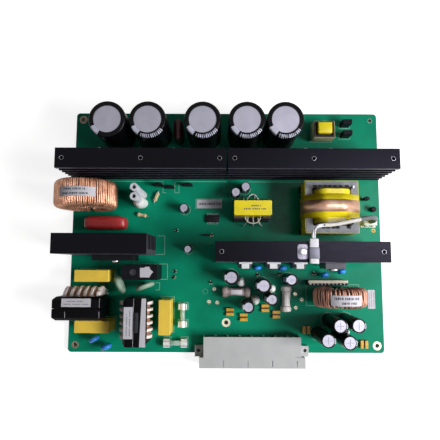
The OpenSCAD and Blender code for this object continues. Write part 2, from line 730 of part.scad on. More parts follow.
module terminal_strip() {
    color("#2a2620") at(strip_at) block([strip_size.x, strip_size.y, strip_h - strip_cap_h]);
}
module terminal_strip_cap() {
    color("#d8cfa8") at(strip_at, strip_h - strip_cap_h)
        translate([0, (strip_size.y - strip_cap_d) / 2, 0]) block([strip_size.x, strip_cap_d, strip_cap_h]);
}

// Line chokes: the winding's axis is along X, offset to +Y of the core's middle
module line_choke_core() {
    end_z = line_axis_z - line_leg_d / 2 - 2;
    translate([-line_l / 2, -line_w / 2, line_h - line_bar]) cube([line_l, line_w, line_bar]);
    for (s = [-1, 1])
        translate([s * (line_l - line_end) / 2 - line_end / 2, -line_w / 2, end_z])
            cube([line_end, line_w, line_h - line_bar - end_z]);
    translate([line_end - line_l / 2, line_offset, line_axis_z]) rotate([0, 90, 0])
        cylinder(d = line_leg_d, h = line_l - 2 * line_end);
}
line_bobbin_l = line_l - 2 * line_end - 2 * fit;
line_tube_r = line_leg_d / 2 + fit + line_tube_t;
line_first = line_end_flange_t - line_bobbin_l / 2;
line_step = (line_bobbin_l - 2 * line_end_flange_t + line_flange_t) / line_sections;
module line_choke_bobbin() {
    translate([0, line_offset, line_axis_z]) rotate([0, 90, 0]) rotate_extrude() {
        translate([line_leg_d / 2 + fit, -line_bobbin_l / 2]) square([line_tube_t, line_bobbin_l]);
        for (i = [1 : line_sections - 1])
            translate([line_tube_r - 0.2, line_first + i * line_step - line_flange_t])
                square([line_flange_r - line_tube_r + 0.2, line_flange_t]);
        for (s = [0, 1])
            translate([line_tube_r - 0.2, s * (line_bobbin_l - line_end_flange_t) - line_bobbin_l / 2])
                square([line_flange_r - line_tube_r + 0.2, line_end_flange_t]);
    }
    for (s = [-1, 1])
        translate([s * (line_bobbin_l - line_end_flange_t) / 2, line_offset, 0])
            block([line_end_flange_t, line_foot_w, line_axis_z - line_tube_r - 1]);
}
module line_choke_winding() {
    width = line_step - line_flange_t - 2 * fit;
    outer_r = line_flange_r - line_winding_drop;
    for (i = [0 : line_sections - 1])
        translate([line_first + i * line_step + fit, line_offset, line_axis_z])
            rotate([0, 90, 0]) difference() {
                cylinder(r = outer_r, h = width);
                translate([0, 0, -1]) cylinder(r = line_tube_r + fit, h = width + 2);
            }
}
module line_choke_cores() {
    color("#1b1c20") for (p = line_choke_at) at(p) line_choke_core();
}
module line_choke_bobbins() {
    color("#e6dcd8") for (p = line_choke_at) at(p) line_choke_bobbin();
}
module line_choke_windings() {
    color("#b0714a") for (p = line_choke_at) at(p) line_choke_winding();
}

// Main transformer: the winding's axis is along Y, the core lies flat on its rails
module main_transformer_core() {
    window = (main_w - 2 * main_side - main_leg) / 2;
    color("#6d6f76") at(main_at, main_lift) for (s = [0, 180]) rotate([0, 0, s]) difference() {
        translate([-main_w / 2, fit, 0]) cube([main_w, main_l / 2 - fit, main_t]);
        for (e = [-1, 1])
            translate([e * (main_leg + window) / 2 - window / 2, -1, -1])
                cube([window, main_l / 2 - main_back + 1, main_t + 2]);
    }
}
module main_section(grow) {
    translate([0, main_mid_z]) square([main_leg + 2 * grow, main_t + 2 * grow], center = true);
}
module along_y(length) {
    translate([0, length / 2, 0]) rotate([90, 0, 0]) linear_extrude(length) children();
}
module main_transformer_bobbin() {
    inside_l = main_l - 2 * main_back - 2 * fit;
    color("#1c1b1a") at(main_at) {
        along_y(inside_l) difference() {
            main_section(main_tube_t);
            main_section(fit);
        }
        for (s = [-1, 1]) {
            translate([0, s * (inside_l - main_flange_t) / 2, 0]) along_y(main_flange_t) difference() {
                translate([0, main_mid_z]) square([main_coil_w, main_coil_h + 0.8], center = true);
                main_section(fit);
            }
            translate([0, s * (main_l - main_rail_d) / 2, 0])
                block([main_w, main_rail_d, main_lift - fit]);
            translate([0, s * (inside_l / 2 + main_back / 4), main_lift / 2])
                block([main_coil_w, main_back / 2 + 0.4, main_lift / 2 - fit]);
        }
    }
}
module main_transformer_coil() {
    color("gold") at(main_at) along_y(main_coil_l) difference() {
        translate([0, main_mid_z]) rounded_rect(main_coil_w, main_coil_h, main_coil_r);
        main_section(main_tube_t + fit);
    }
}
// Outline of a loop drawn tight round the core's legs and over the coil
function loop_quarter(g) = let (
        corner = [main_w / 2 + g, main_t / 2 + g],
        centre = [main_coil_w / 2 - main_coil_r, main_coil_h / 2 - main_coil_r],
        r = main_coil_r + g,
        gap = corner - centre,
        start = atan2(gap.y, gap.x) + acos(r / norm(gap)))
    concat([corner],
        [for (k = [0 : 4]) let (a = start + k * (90 - start) / 4) centre + r * [cos(a), sin(a)]]);
function flipped(list, sx, sy) = [for (p = list) [sx * p.x, sy * p.y]];
function reversed(list) = [for (i = [len(list) - 1 : -1 : 0]) list[i]];
function loop_outline(g) = let (q = loop_quarter(g))
    concat(q, reversed(flipped(q, -1, 1)), flipped(q, -1, -1), reversed(flipped(q, 1, -1)));
module main_loop(width, inner, thick) {
    at(main_at, main_mid_z) along_y(width) difference() {
        polygon(loop_outline(inner + thick));
        polygon(loop_outline(inner));
    }
}
module main_transformer_tape() {
    color("gold") main_loop(tape_w, fit, tape_t);
}
module main_transformer_band() {
    color("#c08a6a") main_loop(band_w, tape_t + 2 * fit, band_t);
}

// Drive transformer: taped top over two core legs, with leads in front and behind
module drive_transformer_coil() {
    color("yellow") at(drive_at, drive_base_h) {
        translate([0, 0, drive_leg_h])
            pillow_box([drive_l, drive_w, drive_h - drive_base_h - drive_leg_h], 1);
        block([drive_l - 2 * (drive_leg_w + fit), drive_w, drive_leg_h + 1]);
    }
}
module drive_transformer_core() {
    color("#2c2b2d") at(drive_at, drive_base_h) for (s = [-1, 1])
        translate([s * (drive_l - drive_leg_w) / 2, 0, 0])
            block([drive_leg_w, drive_w + 2 * drive_leg_out, drive_leg_h - fit]);
}
module drive_transformer_base() {
    color("#1c1b1a") at(drive_at) block([drive_l - 1, drive_w + 2 * drive_base_margin, drive_base_h]);
}
module drive_transformer_leads() {
    face = drive_w / 2 + fit;
    color("#e4dcc0") at(drive_at) {
        for (route = drive_front) tube([for (p = route) [p.x, -face - p.y, p.z]], drive_lead_d);
        for (route = drive_rear) tube([for (p = route) [p.x, face + p.y, p.z]], drive_lead_d);
    }
}

// Auxiliary transformer: an open core frame with the taped coil inside
module aux_transformer_core() {
    inner_w = aux_w - 2 * aux_frame;
    inner_d = aux_d - 2 * aux_frame;
    color("#8a8778") at([aux_x, aux_y], aux_base_h) difference() {
        block([aux_w, aux_d, aux_h - aux_base_h - aux_rise]);
        translate([0, 0, -1]) block([inner_w, inner_d, aux_h]);
    }
}
module aux_transformer_coil() {
    coil_w = aux_w - 2 * (aux_frame + aux_side_gap);
    coil_d = aux_d - 2 * aux_frame - aux_front_gap - aux_back_gap;
    color("yellow") at([aux_x, aux_y], aux_base_h) translate([0, (aux_front_gap - aux_back_gap) / 2, 0])
        pillow_box([coil_w, coil_d, aux_h - aux_base_h], 1.5);
}
module aux_transformer_bobbin() {
    color("#1c1b1a") at([aux_x, aux_y]) {
        block([aux_w - 1, aux_d - 1, aux_base_h]);
        translate([0, aux_frame + 0.3 + (aux_bar_d - aux_d) / 2, 0])
            block([aux_w - 2 * aux_frame - aux_side_gap, aux_bar_d, aux_h - 2]);
    }
}

// Cases, fuses, tubes and beads
module relay_case() {
    color("#1d1e23") at(relay_at) pillow_box([relay_l, relay_w, relay_h], 0.6);
}
module box_modules() {
    color("#1d1e23") for (y = module_y) at([module_x, y]) block(module_size);
}
module fuse_tubes() {
    color("lightcyan") for (p = fuse_at) at(p, fuse_lift + fuse_d / 2) rotate([0, 90, 0]) difference() {
        cylinder(d = fuse_d - 2 * (fuse_cap_t + fit), h = fuse_l - 2 * fuse_cap_t - 2 * fit, center = true);
        cylinder(d = fuse_d - 2 * (fuse_cap_t + fit) - 1.6, h = fuse_l, center = true);
    }
}
module fuse_caps() {
    color("silver") for (p = fuse_at, s = [0, 180])
        at(p, fuse_lift + fuse_d / 2) rotate([0, 90, s]) difference() {
            translate([0, 0, fuse_l / 2 - fuse_cap_l]) cylinder(d = fuse_d, h = fuse_cap_l);
            translate([0, 0, fuse_l / 2 - fuse_cap_l - 1])
                cylinder(d = fuse_d - 2 * fuse_cap_t, h = fuse_cap_l + 1 - fuse_cap_t);
        }
}
module fuse_clips() {
    half = fuse_d / 2 + fit;
    color("gainsboro") for (p = fuse_at, s = [-1, 1])
        at(p) translate([s * (fuse_l - fuse_cap_l) / 2, 0, 0]) {
            block([fuse_cap_l - 0.6, fuse_d + 2 * clip_prong + 2 * fit, clip_base]);
            for (e = [-1, 1])
                translate([0, e * (half + clip_prong / 2), 0])
                    block([fuse_cap_l - 0.6, clip_prong, fuse_lift + fuse_d * 0.9]);
        }
}
module upright_tubes() {
    color("white") for (p = tube_at) at(p) difference() {
        cylinder(d = tube_d, h = tube_h);
        translate([0, 0, tube_h / 3]) cylinder(d = tube_bore, h = tube_h);
    }
}
module bead(r, h) {
    cylinder(r = r, h = h - r);
    translate([0, 0, h - r]) sphere(r);
}
module silicone_beads() {
    color("white") difference() {
        union() {
            for (p = bead_at) at([p[0], p[1]]) bead(p[2], p[3]);
            at(tube_at[1]) bead(tube_bead_r, tube_bead_h);
        }
        for (i = [0 : len(filter_at) - 1])
            at(filter_at[i]) cylinder(d = filter_d * filter_cut[i] + 2 * fit, h = filter_h + 1);
        for (p = output_at) at(p) cylinder(d = output_d + 2 * fit, h = output_h + 1);
        for (p = tube_at) at(p) cylinder(d = tube_d + 2 * fit, h = tube_h + 1);
    }
}
module chip_packages() {
    color("#222327") {
        for (p = package_at) at([p[0], p[1]]) block([p[2], p[3], p[4]]);
        for (i = [0 : len(axial_at) - 1])
            at(axial_at[i], axial_d / 2 + fit) rotate([0, 90, 0])
                cylinder(d = axial_d, h = axial_l[i], center = true);
    }
}
module rod_choke_ends() {
    color("#8e8584") for (i = [0 : len(rod_at) - 1], s = [-1, 1]) {
        l = rod_l - rod_short[i];
        at(rod_at[i], rod_end_d / 2) translate([s * (l - rod_end_l) / 2, 0, 0])
            rotate([0, 90, 0]) cylinder(d = rod_end_d, h = rod_end_l, center = true);
    }
}
module rod_choke_sleeves() {
    color("#d9d3d1") for (i = [0 : len(rod_at) - 1])
        at(rod_at[i], rod_end_d / 2) rotate([0, 90, 0])
            cylinder(d = rod_mid_d, h = rod_l - rod_short[i] - 2 * rod_end_l - 2 * fit, center = true);
}

// Thermal sensor, its lead and its plug
module sensor_block() {
    color("whitesmoke") translate([sensor_x, sensor_y, sensor_top]) block(sensor_size);
}
module sensor_tab() {
    tab_x = sensor_x - sensor_size.x / 2 - fit - sensor_tab_w / 2;
    color("silver") difference() {
        translate([tab_x, output_face_y + sink_hole_y, sensor_top])
            block([sensor_tab_w, sensor_tab_d, sensor_tab_t]);
        translate([output_sink_x, output_face_y + sink_hole_y, sensor_top - 1])
            cylinder(d = sink_hole_d, h = sensor_tab_t + 2);
    }
}
wire_end = wire_route[len(wire_route) - 1];
sleeve_start = [sensor_x + wire_end.x, wire_start_y + wire_end.y, wire_rise + wire_end.z];
sleeve_fall = (sleeve_start.z - plug_top) / sleeve_drop[len(sleeve_drop) - 1];
sleeve_end = sleeve_route[len(sleeve_route) - 1];
sleeve_stretch = [(plug_at.x - sleeve_start.x) / sleeve_end.x, (plug_at.y - sleeve_start.y) / sleeve_end.y];
module sensor_lead() {
    color("white") {
        for (s = [-1, 1])
            tube([for (i = [0 : len(wire_route) - 1])
                [sensor_x + wire_route[i].x + s * wire_spread * wire_side[i].x,
                 wire_start_y + wire_route[i].y + s * wire_spread * wire_side[i].y,
                 wire_rise + wire_route[i].z]], wire_d);
        tube([for (i = [0 : len(sleeve_route) - 1])
            [sleeve_start.x + sleeve_route[i].x * sleeve_stretch.x,
             sleeve_start.y + sleeve_route[i].y * sleeve_stretch.y,
             sleeve_start.z - sleeve_drop[i] * sleeve_fall]], sleeve_d);
    }
}
module sensor_plug() {
    color("ivory") at(plug_at) {
        block(header_size);
        translate([0, 0, header_size.z]) block(plug_size);
    }
}

// Edge connector: the mouth faces -Y, past the board's edge
module connector_shell() {
    mouth_w = conn_body_w - 2 * conn_wall;
    color("lightgray") difference() {
        union() {
            translate([conn_x - conn_body_w / 2, conn_step_y, board_t])
                cube([conn_body_w, conn_rear_y - conn_step_y, conn_h]);
            translate([conn_x - conn_front_w / 2, conn_front_y, 0])
                cube([conn_front_w, conn_step_y - conn_front_y, conn_top]);
            translate([conn_x - conn_pitch / 2 - conn_ear.x, conn_step_y - 0.5, board_t])
                cube([conn_pitch + 2 * conn_ear.x, conn_ear.y, conn_ear.z]);
        }
        translate([conn_x - mouth_w / 2, conn_front_y - 1, board_t + conn_wall])
            cube([mouth_w, conn_mouth_depth + 1, conn_h - 2 * conn_wall]);
        for (s = [-1, 1])
            translate([conn_x + s * conn_pitch / 2, conn_ear_y, board_t - 1])
                cylinder(d = conn_hole_d, h = conn_ear.z + 2);
        for (i = [0 : 2 : blade_count - 1])
            translate([blade_x(i) - conn_bay_w / 2, conn_rear_y - conn_bay_d, board_t - 1])
                cube([conn_bay_w, conn_bay_d + 1, conn_h - conn_roof + 1]);
        for (i = [-1.5 : 1.5])
            translate([conn_groove_x + i * conn_groove_pitch, conn_front_y + 1.2, conn_top - conn_groove.z])
                cube([conn_groove.x, conn_groove.y, 1]);
        translate([conn_x + conn_body_w / 2 - conn_notch.x, conn_step_y + 0.5, conn_top - conn_notch.z])
            cube([conn_notch.x + 1, conn_notch.y, 1]);
        for (i = [1 : 2 : blade_count - 1])
            translate([blade_x(i) - blade_w / 2 - fit, conn_mouth_y + 1.4, board_t - 1])
                cube([blade_w + 2 * fit, 3.6, blade_z(i) + blade_t + fit + 1]);
        for (i = [0 : blade_count - 1])
            translate([blade_x(i) - blade_w / 2 - fit, conn_mouth_y - 1, board_t + blade_z(i) - fit])
                cube([blade_w + 2 * fit, blade_leg_y(i) - conn_mouth_y + 1, blade_t + 2 * fit]);
    }
}
module connector_blades() {
    color("silver") for (i = [0 : blade_count - 1]) {
        translate([blade_x(i) - blade_w / 2, conn_front_y + blade_recess, board_t + blade_z(i)])
            cube([blade_w, blade_leg_y(i) - conn_front_y - blade_recess + blade_t / 2, blade_t]);
        translate([blade_x(i) - 1, blade_leg_y(i) - blade_t / 2, board_t])
            cube([2, blade_t, blade_z(i) + blade_t]);
    }
}

circuit_board();
solder_joints();
component_leads();
bulk_capacitor_cans();
bulk_capacitor_sleeves();
small_capacitor_cans();
small_capacitor_sleeves();
film_capacitor_large();
film_capacitor_small();
box_capacitors();
disc_capacitors();
thermistor_discs();
chip_capacitors();
chip_capacitor_bars();
left_heatsink();
right_heatsink();
bridge_heatsink();
output_heatsink();
power_transistors();
bridge_rectifier();
output_rectifiers();
rectifier_clips();
device_screws();
input_choke_core();
input_choke_winding();
output_choke_core();
output_choke_winding();
terminal_strip();
terminal_strip_cap();
line_choke_cores();
line_choke_bobbins();
line_choke_windings();
main_transformer_core();
main_transformer_bobbin();
main_transformer_coil();
main_transformer_tape();
main_transformer_band();
drive_transformer_coil();
drive_transformer_core();
drive_transformer_base();
drive_transformer_leads();
aux_transformer_core();
aux_transformer_coil();
aux_transformer_bobbin();
relay_case();
box_modules();
fuse_tubes();
fuse_caps();
fuse_clips();
upright_tubes();
silicone_beads();
chip_packages();
rod_choke_ends();
rod_choke_sleeves();
sensor_block();
sensor_tab();
sensor_lead();
sensor_plug();
connector_shell();
connector_blades();
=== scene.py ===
from math import atan2, copysign, cos, degrees, hypot, pi, radians, sin, sqrt

import bmesh
import bpy
import numpy as np
from mathutils import Matrix, Vector


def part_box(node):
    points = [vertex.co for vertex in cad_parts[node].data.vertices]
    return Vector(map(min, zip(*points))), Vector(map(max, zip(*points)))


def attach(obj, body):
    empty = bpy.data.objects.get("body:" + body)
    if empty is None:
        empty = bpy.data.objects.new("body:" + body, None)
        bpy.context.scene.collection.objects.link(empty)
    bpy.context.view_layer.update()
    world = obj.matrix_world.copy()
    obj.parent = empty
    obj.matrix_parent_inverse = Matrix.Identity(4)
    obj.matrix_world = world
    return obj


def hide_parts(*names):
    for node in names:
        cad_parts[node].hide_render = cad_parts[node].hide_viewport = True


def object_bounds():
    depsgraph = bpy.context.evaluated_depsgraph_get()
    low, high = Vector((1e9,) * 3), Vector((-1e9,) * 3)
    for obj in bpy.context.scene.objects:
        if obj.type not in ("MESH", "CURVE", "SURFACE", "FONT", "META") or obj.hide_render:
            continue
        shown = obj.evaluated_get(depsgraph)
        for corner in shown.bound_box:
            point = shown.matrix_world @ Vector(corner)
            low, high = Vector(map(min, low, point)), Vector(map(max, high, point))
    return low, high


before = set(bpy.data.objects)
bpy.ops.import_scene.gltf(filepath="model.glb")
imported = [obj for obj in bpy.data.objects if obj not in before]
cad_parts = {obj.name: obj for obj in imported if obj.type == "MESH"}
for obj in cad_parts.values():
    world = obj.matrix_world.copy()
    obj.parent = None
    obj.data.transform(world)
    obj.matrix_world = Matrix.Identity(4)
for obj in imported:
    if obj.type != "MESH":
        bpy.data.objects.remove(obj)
cad_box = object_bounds()
scene = bpy.context.scene
MM = 0.001


# Colours are written as display values from 0 to 255
def tone(rgb, gain=1.0):
    out = []
    for value in rgb:
        share = value / 255
        share = share / 12.92 if share <= 0.04045 else ((share + 0.055) / 1.055) ** 2.4
        out.append(min(1.0, share * gain))
    return (*out, 1.0)


def set_inputs(node, values):
    for name, value in values.items():
        node.inputs[name].default_value = value


# A new node with values for some inputs and links to others
def add_node(tree, kind, values=None, links=None):
    made = tree.nodes.new("ShaderNode" + kind)
    set_inputs(made, values or {})
    for name, socket in (links or {}).items():
        tree.links.new(socket, made.inputs[name])
    return made


# One surface: broad colour variation, fine roughness variation and a fine bump
def surface(name, rgb, rough, vary, broad, fine, specular=0.5, bump=0.1, relief=0.05, metallic=0.0,
            stretch=(1, 1, 1), other=None, rough_vary=0.07, tint=(1, 1, 1)):
    made = bpy.data.materials.new(name)
    made.use_nodes = True
    tree = made.node_tree
    shader = tree.nodes["Principled BSDF"]
    set_inputs(shader, {"Metallic": metallic, "Specular IOR Level": specular, "Specular Tint": (*tint, 1)})
    place = add_node(tree, "TexCoord").outputs["Object"]
    spread = add_node(tree, "Mapping", {"Scale": stretch}, {"Vector": place}).outputs["Vector"]
    cloud = add_node(tree, "TexNoise", {"Scale": broad, "Detail": 5}, {"Vector": spread})
    ramp = add_node(tree, "ValToRGB", links={"Fac": cloud.outputs["Fac"]})
    low, high = ramp.color_ramp.elements
    low.position, high.position = 0.3, 0.7
    low.color = tone(rgb, 1 - vary)
    high.color = tone(other) if other else tone(rgb, 1 + vary)
    grain = add_node(tree, "TexNoise", {"Scale": fine, "Detail": 3}, {"Vector": spread}).outputs["Fac"]
    limits = {"From Min": 0.3, "From Max": 0.7, "To Min": max(0.02, rough - rough_vary),
              "To Max": min(1.0, rough + rough_vary)}
    gloss = add_node(tree, "MapRange", limits, {"Value": grain})
    height = add_node(tree, "Bump", {"Strength": bump, "Distance": relief * MM}, {"Height": grain})
    tree.links.new(ramp.outputs["Color"], shader.inputs["Base Color"])
    tree.links.new(gloss.outputs["Result"], shader.inputs["Roughness"])
    tree.links.new(height.outputs["Normal"], shader.inputs["Normal"])
    return made


# Each surface: colour, roughness, colour variation, broad and fine grain, and specular level if not 0.5
MASK = surface("solder_mask", (4, 138, 106), 0.36, 0.16, 28, 700, 0.08, bump=0.12, relief=0.06)
LAMINATE = surface("laminate_edge", (150, 176, 110), 0.6, 0.12, 300, 2500, 0.2)
PRINT = surface("print_pale", (164, 208, 190), 0.6, 0.12, 500, 2500, 0.2)
PAD = surface("pad_tin", (214, 208, 184), 0.4, 0.12, 300, 2500, metallic=0.4)
PAD_DULL = surface("pad_dull", (126, 110, 96), 0.5, 0.2, 300, 2500, metallic=0.3)
TRACK = surface("track_green", (10, 166, 122), 0.36, 0.12, 60, 900, 0.16)
TIN = surface("tinned_metal", (178, 178, 184), 0.32, 0.15, 300, 2500, metallic=1)
ALUMINIUM = surface("can_aluminium", (142, 141, 152), 0.5, 0.07, 120, 1600, metallic=0.9, bump=0.15)
# Tin of the connector blades, darkened as painted shade of the connector's bays
BLADE_SHADED = surface("blade_tin_painted_shade", (112, 112, 116), 0.42, 0.2, 300, 2500, metallic=0.9)
SLEEVE = surface("sleeve_black", (7, 7, 10), 0.3, 0.3, 90, 900, 0.09)
STRIPE = surface("stripe_pale", (200, 202, 222), 0.4, 0.06, 160, 900, 0.25)
FILM_RED = surface("epoxy_red", (180, 50, 52), 0.3, 0.1, 60, 500, 0.25, bump=0.04)
FILM_DARK = surface("epoxy_dark", (70, 22, 28), 0.32, 0.4, 120, 700, 0.25)
BOX_YELLOW = surface("box_yellow", (246, 210, 80), 0.42, 0.08, 90, 1200, 0.25)
DISC_BLUE = surface("disc_blue", (48, 136, 230), 0.28, 0.2, 200, 900, 0.3)
DISC_GREEN = surface("disc_green", (156, 182, 162), 0.42, 0.2, 200, 900, 0.25)
CHIP_BROWN = surface("chip_brown", (84, 54, 18), 0.45, 0.3, 500, 2500, 0.25)
CHIP_GOLD = surface("chip_gold", (216, 172, 64), 0.42, 0.2, 500, 2500, 0.25)
SINK = surface("anodised_black", (6, 6, 9), 0.36, 0.25, 50, 1300, 0.1, stretch=(0.06, 1, 1), bump=0.2,
               relief=0.06, tint=(0.76, 0.74, 1))
# Lighter slate on the heatsinks' front fin faces and along one edge: painted sheen
PAINTED_SHEEN = surface("painted_fin_sheen", (92, 88, 106), 0.5, 0.2, 200, 1500, 0.15)
SAWN = surface("sawn_end", (74, 72, 82), 0.5, 0.2, 300, 1800, 0.2, metallic=0.2)
# Slate grey of the output rectifiers: their own grey, made lighter as painted sheen
PACKAGE_GREY_SHEEN = surface("package_grey_and_sheen", (64, 62, 72), 0.42, 0.2, 200, 3000, 0.3)
FUSE_METAL = surface("fuse_metal", (226, 228, 226), 0.36, 0.12, 300, 2500, metallic=0.3)
PACKAGE = surface("package_black", (16, 17, 20), 0.5, 0.25, 200, 3000, 0.1)
CLIP_WHITE = surface("clip_white", (218, 220, 226), 0.45, 0.06, 200, 1500, 0.25)
FERRITE = surface("ferrite_grey", (138, 141, 149), 0.55, 0.2, 220, 2600, 0.25, bump=0.3)
FERRITE_DARK = surface("ferrite_dark", (66, 58, 58), 0.55, 0.25, 220, 2600, 0.15, bump=0.3)
CORE_COATED = surface("coated_core", (120, 126, 112), 0.5, 0.12, 120, 1600, 0.25)
CORE_BLACK = surface("core_black", (7, 7, 10), 0.34, 0.3, 120, 1600, 0.05)
CORE_WORN = surface("core_worn", (44, 44, 52), 0.4, 0.3, 300, 1600, 0.15)
COPPER = surface("enamelled_copper", (180, 120, 88), 0.32, 0.22, 240, 1800, 0.4, metallic=0.55,
                 other=(220, 170, 140))
COPPER_DULL = surface("dull_copper", (222, 164, 140), 0.4, 0.3, 300, 1800, 0.3, metallic=0.3,
                      other=(176, 126, 106))
COPPER_PALE = surface("pale_copper", (178, 136, 116), 0.45, 0.2, 300, 1800, 0.25, metallic=0.2,
                      other=(204, 168, 148))
COPPER_BAND = surface("copper_band", (208, 152, 118), 0.36, 0.25, 130, 1400, metallic=0.5,
                      other=(222, 184, 162))
BOBBIN_PALE = surface("bobbin_pale", (246, 236, 234), 0.45, 0.08, 160, 1500, 0.25)
BOBBIN_BLACK = surface("bobbin_black", (20, 18, 18), 0.5, 0.3, 160, 1800, 0.15)
TAPE = surface("tape_yellow", (240, 220, 30), 0.3, 0.08, 110, 420, 0.25, bump=0.2, relief=0.2)
TAPE_OLIVE = surface("tape_olive", (228, 222, 172), 0.4, 0.12, 160, 900, 0.2)
CASE = surface("case_black", (13, 13, 20), 0.42, 0.25, 140, 1800, 0.08)
CASE_WORN = surface("case_worn", (58, 58, 68), 0.45, 0.25, 140, 1800, 0.15)
SLEEVING = surface("sleeving", (222, 220, 214), 0.5, 0.08, 160, 1500, 0.25)
SLEEVING_GREY = surface("sleeving_grey", (104, 112, 114), 0.5, 0.12, 160, 1500, 0.2)
TUBE = surface("tube_pale", (214, 216, 226), 0.45, 0.08, 160, 1500, 0.25)
SILICONE = surface("silicone_white", (250, 250, 252), 0.42, 0.06, 140, 600, 0.25, bump=0.3, relief=0.3)
CREAM = surface("plastic_cream", (242, 236, 212), 0.45, 0.08, 140, 1500, 0.25)
WHITE = surface("plastic_white", (230, 230, 238), 0.42, 0.05, 140, 1500, 0.25)
GREY = surface("plastic_grey", (192, 194, 196), 0.5, 0.05, 70, 1900, 0.2, bump=0.15)
LABEL = surface("label_white", (208, 206, 216), 0.5, 0.04, 120, 1200, 0.2)
PLUG_PALE = surface("plug_pale", (212, 224, 214), 0.4, 0.06, 140, 1500, 0.25)
INK = surface("ink_grey", (92, 92, 104), 0.6, 0.1, 300, 2500, 0.15)
BEIGE = surface("resistor_beige", (206, 190, 150), 0.4, 0.12, 300, 2200, 0.25)
ROD_TAUPE = surface("rod_taupe", (160, 147, 145), 0.5, 0.2, 260, 2200, 0.25)
ROD_PALE = surface("rod_pale", (234, 228, 226), 0.5, 0.12, 260, 2200, 0.25)
JACKET = surface("jacket_grey", (90, 92, 104), 0.42, 0.08, 260, 2400, metallic=0.3)
CLAMP = surface("clamp_pale", (164, 160, 176), 0.4, 0.1, 200, 2000, metallic=0.4)
GLASS = surface("fuse_glass", (214, 238, 230), 0.08, 0.03, 200, 700, bump=0.04, rough_vary=0.03)
set_inputs(GLASS.node_tree.nodes["Principled BSDF"], {"Transmission Weight": 0.6, "IOR": 1.45})

WELD_GAP, FLAT_ANGLE, EDGE_ANGLE = 0.000002, radians(1), radians(30)


# A CAD node keeps its shape and gets a finish and softened edges
def finish(node, material, edge):
    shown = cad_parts[node]
    mesh = shown.data
    mesh.materials.clear()
    mesh.materials.append(material)
    normals = mesh.attributes.get("custom_normal")
    if normals:
        mesh.attributes.remove(normals)
    mesh.shade_smooth()
    shown.modifiers.new("weld", "WELD").merge_threshold = WELD_GAP
    if edge:
        plane = shown.modifiers.new("plane", "DECIMATE")
        plane.decimate_type = "DISSOLVE"
        plane.angle_limit = FLAT_ANGLE
        round_off = shown.modifiers.new("edge", "BEVEL")
        round_off.width = edge * MM
        round_off.segments = 2
        round_off.limit_method = "ANGLE"
        round_off.angle_limit = EDGE_ANGLE
        round_off.harden_normals = True


# More looks on a CAD node, chosen by the direction of each face
def paint_faces(node, looks, choose):
    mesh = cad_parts[node].data
    for look in looks:
        mesh.materials.append(look)
    for face in mesh.polygons:
        face.material_index = choose(face.normal)


# A box in millimetres: low corner, high corner, middle and size
def boxed(lo, hi):
    return lo, hi, (lo + hi) / 2, hi - lo


def whole(node):
    lo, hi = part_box(node)
    return boxed(lo / MM, hi / MM)


# Boxes of a node's separate solids, from left to right
def solids(node):
    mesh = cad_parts[node].data
    co = np.array([v.co for v in mesh.vertices])
    joined, owner = {}, []
    for point in np.round(co * 1e5).astype(int):
        owner.append(joined.setdefault(tuple(point), len(joined)))
    parent = list(range(len(joined)))

    def root(i):
        while parent[i] != i:
            parent[i] = parent[parent[i]]
            i = parent[i]
        return i

    for face in mesh.polygons:
        first = root(owner[face.vertices[0]])
        for v in face.vertices[1:]:
            parent[root(owner[v])] = first
    groups = {}
    for i, point in enumerate(co / MM):
        groups.setdefault(root(owner[i]), []).append(point)
    boxes = [boxed(Vector(np.min(points, 0)), Vector(np.max(points, 0))) for points in groups.values()]
    return sorted(boxes, key=lambda box: [round(value, 2) for value in box[0]])


def to_mesh(bm, name):
    mesh = bpy.data.meshes.new(name)
    bm.to_mesh(mesh)
    bm.free()
    return mesh


def link(name, data):
    obj = bpy.data.objects.new(name, data)
    scene.collection.objects.link(obj)
    return obj


def placed(part, matrix):
    part.transform(matrix)
    return part


# Shapes are made in millimetres and joined into one mesh per piece
def put(bm, part, matrix=Matrix(), mat=None):
    if mat is not None:
        for face in part.faces:
            face.material_index = mat
    mesh = to_mesh(placed(part, matrix), "part")
    bm.from_mesh(mesh)
    bpy.data.meshes.remove(mesh)


def piece(name, bm, materials, replaces=(), sharp=38):
    for face in bm.faces:
        face.smooth = True
    limit = radians(sharp)
    for edge in bm.edges:
        edge.smooth = len(edge.link_faces) == 2 and edge.calc_face_angle(0) < limit
    bmesh.ops.scale(bm, vec=(MM, MM, MM), verts=bm.verts[:])
    mesh = to_mesh(bm, name)
    for material in materials if isinstance(materials, (list, tuple)) else [materials]:
        mesh.materials.append(material)
    obj = link(name, mesh)
    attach(obj, "root")
    if replaces:
        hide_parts(*([replaces] if isinstance(replaces, str) else replaces))
    return obj


def turned(axis, angle):
    return Matrix.Rotation(radians(angle), 4, axis)


def at(x, y, z=0.0, spin=0.0):
    return Matrix.Translation((x, y, z)) @ turned("Z", spin)


def around(steps):
    return [2 * pi * k / steps for k in range(steps)]


def outward(bm):
    bmesh.ops.recalc_face_normals(bm, faces=bm.faces[:])
    return bm


# Faces between two closed rows of vertices
def bridge(bm, low, high):
    for k in range(len(low)):
        bm.faces.new((low[k - 1], low[k], high[k], high[k - 1]))


# A skin over rows of points, each row closed in itself
def skin(rows, caps=True, looped=False):
    bm = bmesh.new()
    rows = [[bm.verts.new(point) for point in row] for row in rows]
    for low, high in zip(rows, rows[1:] + rows[:1] if looped else rows[1:]):
        bridge(bm, low, high)
    if caps:
        bm.faces.new(rows[0][::-1])
        bm.faces.new(rows[-1])
    return outward(bm)


def soften(bm, edges, width, steps=2):
    bmesh.ops.bevel(bm, geom=edges, offset=width, segments=steps, profile=0.5, affect="EDGES",
                    clamp_overlap=True)


def block(lo, hi, edge=0.3, steps=2):
    bm = bmesh.new()
    bmesh.ops.create_cube(bm, size=1)
    lo, hi, c, size = boxed(Vector(lo), Vector(hi))
    for v in bm.verts:
        v.co = c + v.co * size
    if edge:
        soften(bm, bm.edges[:], edge, steps)
    return bm


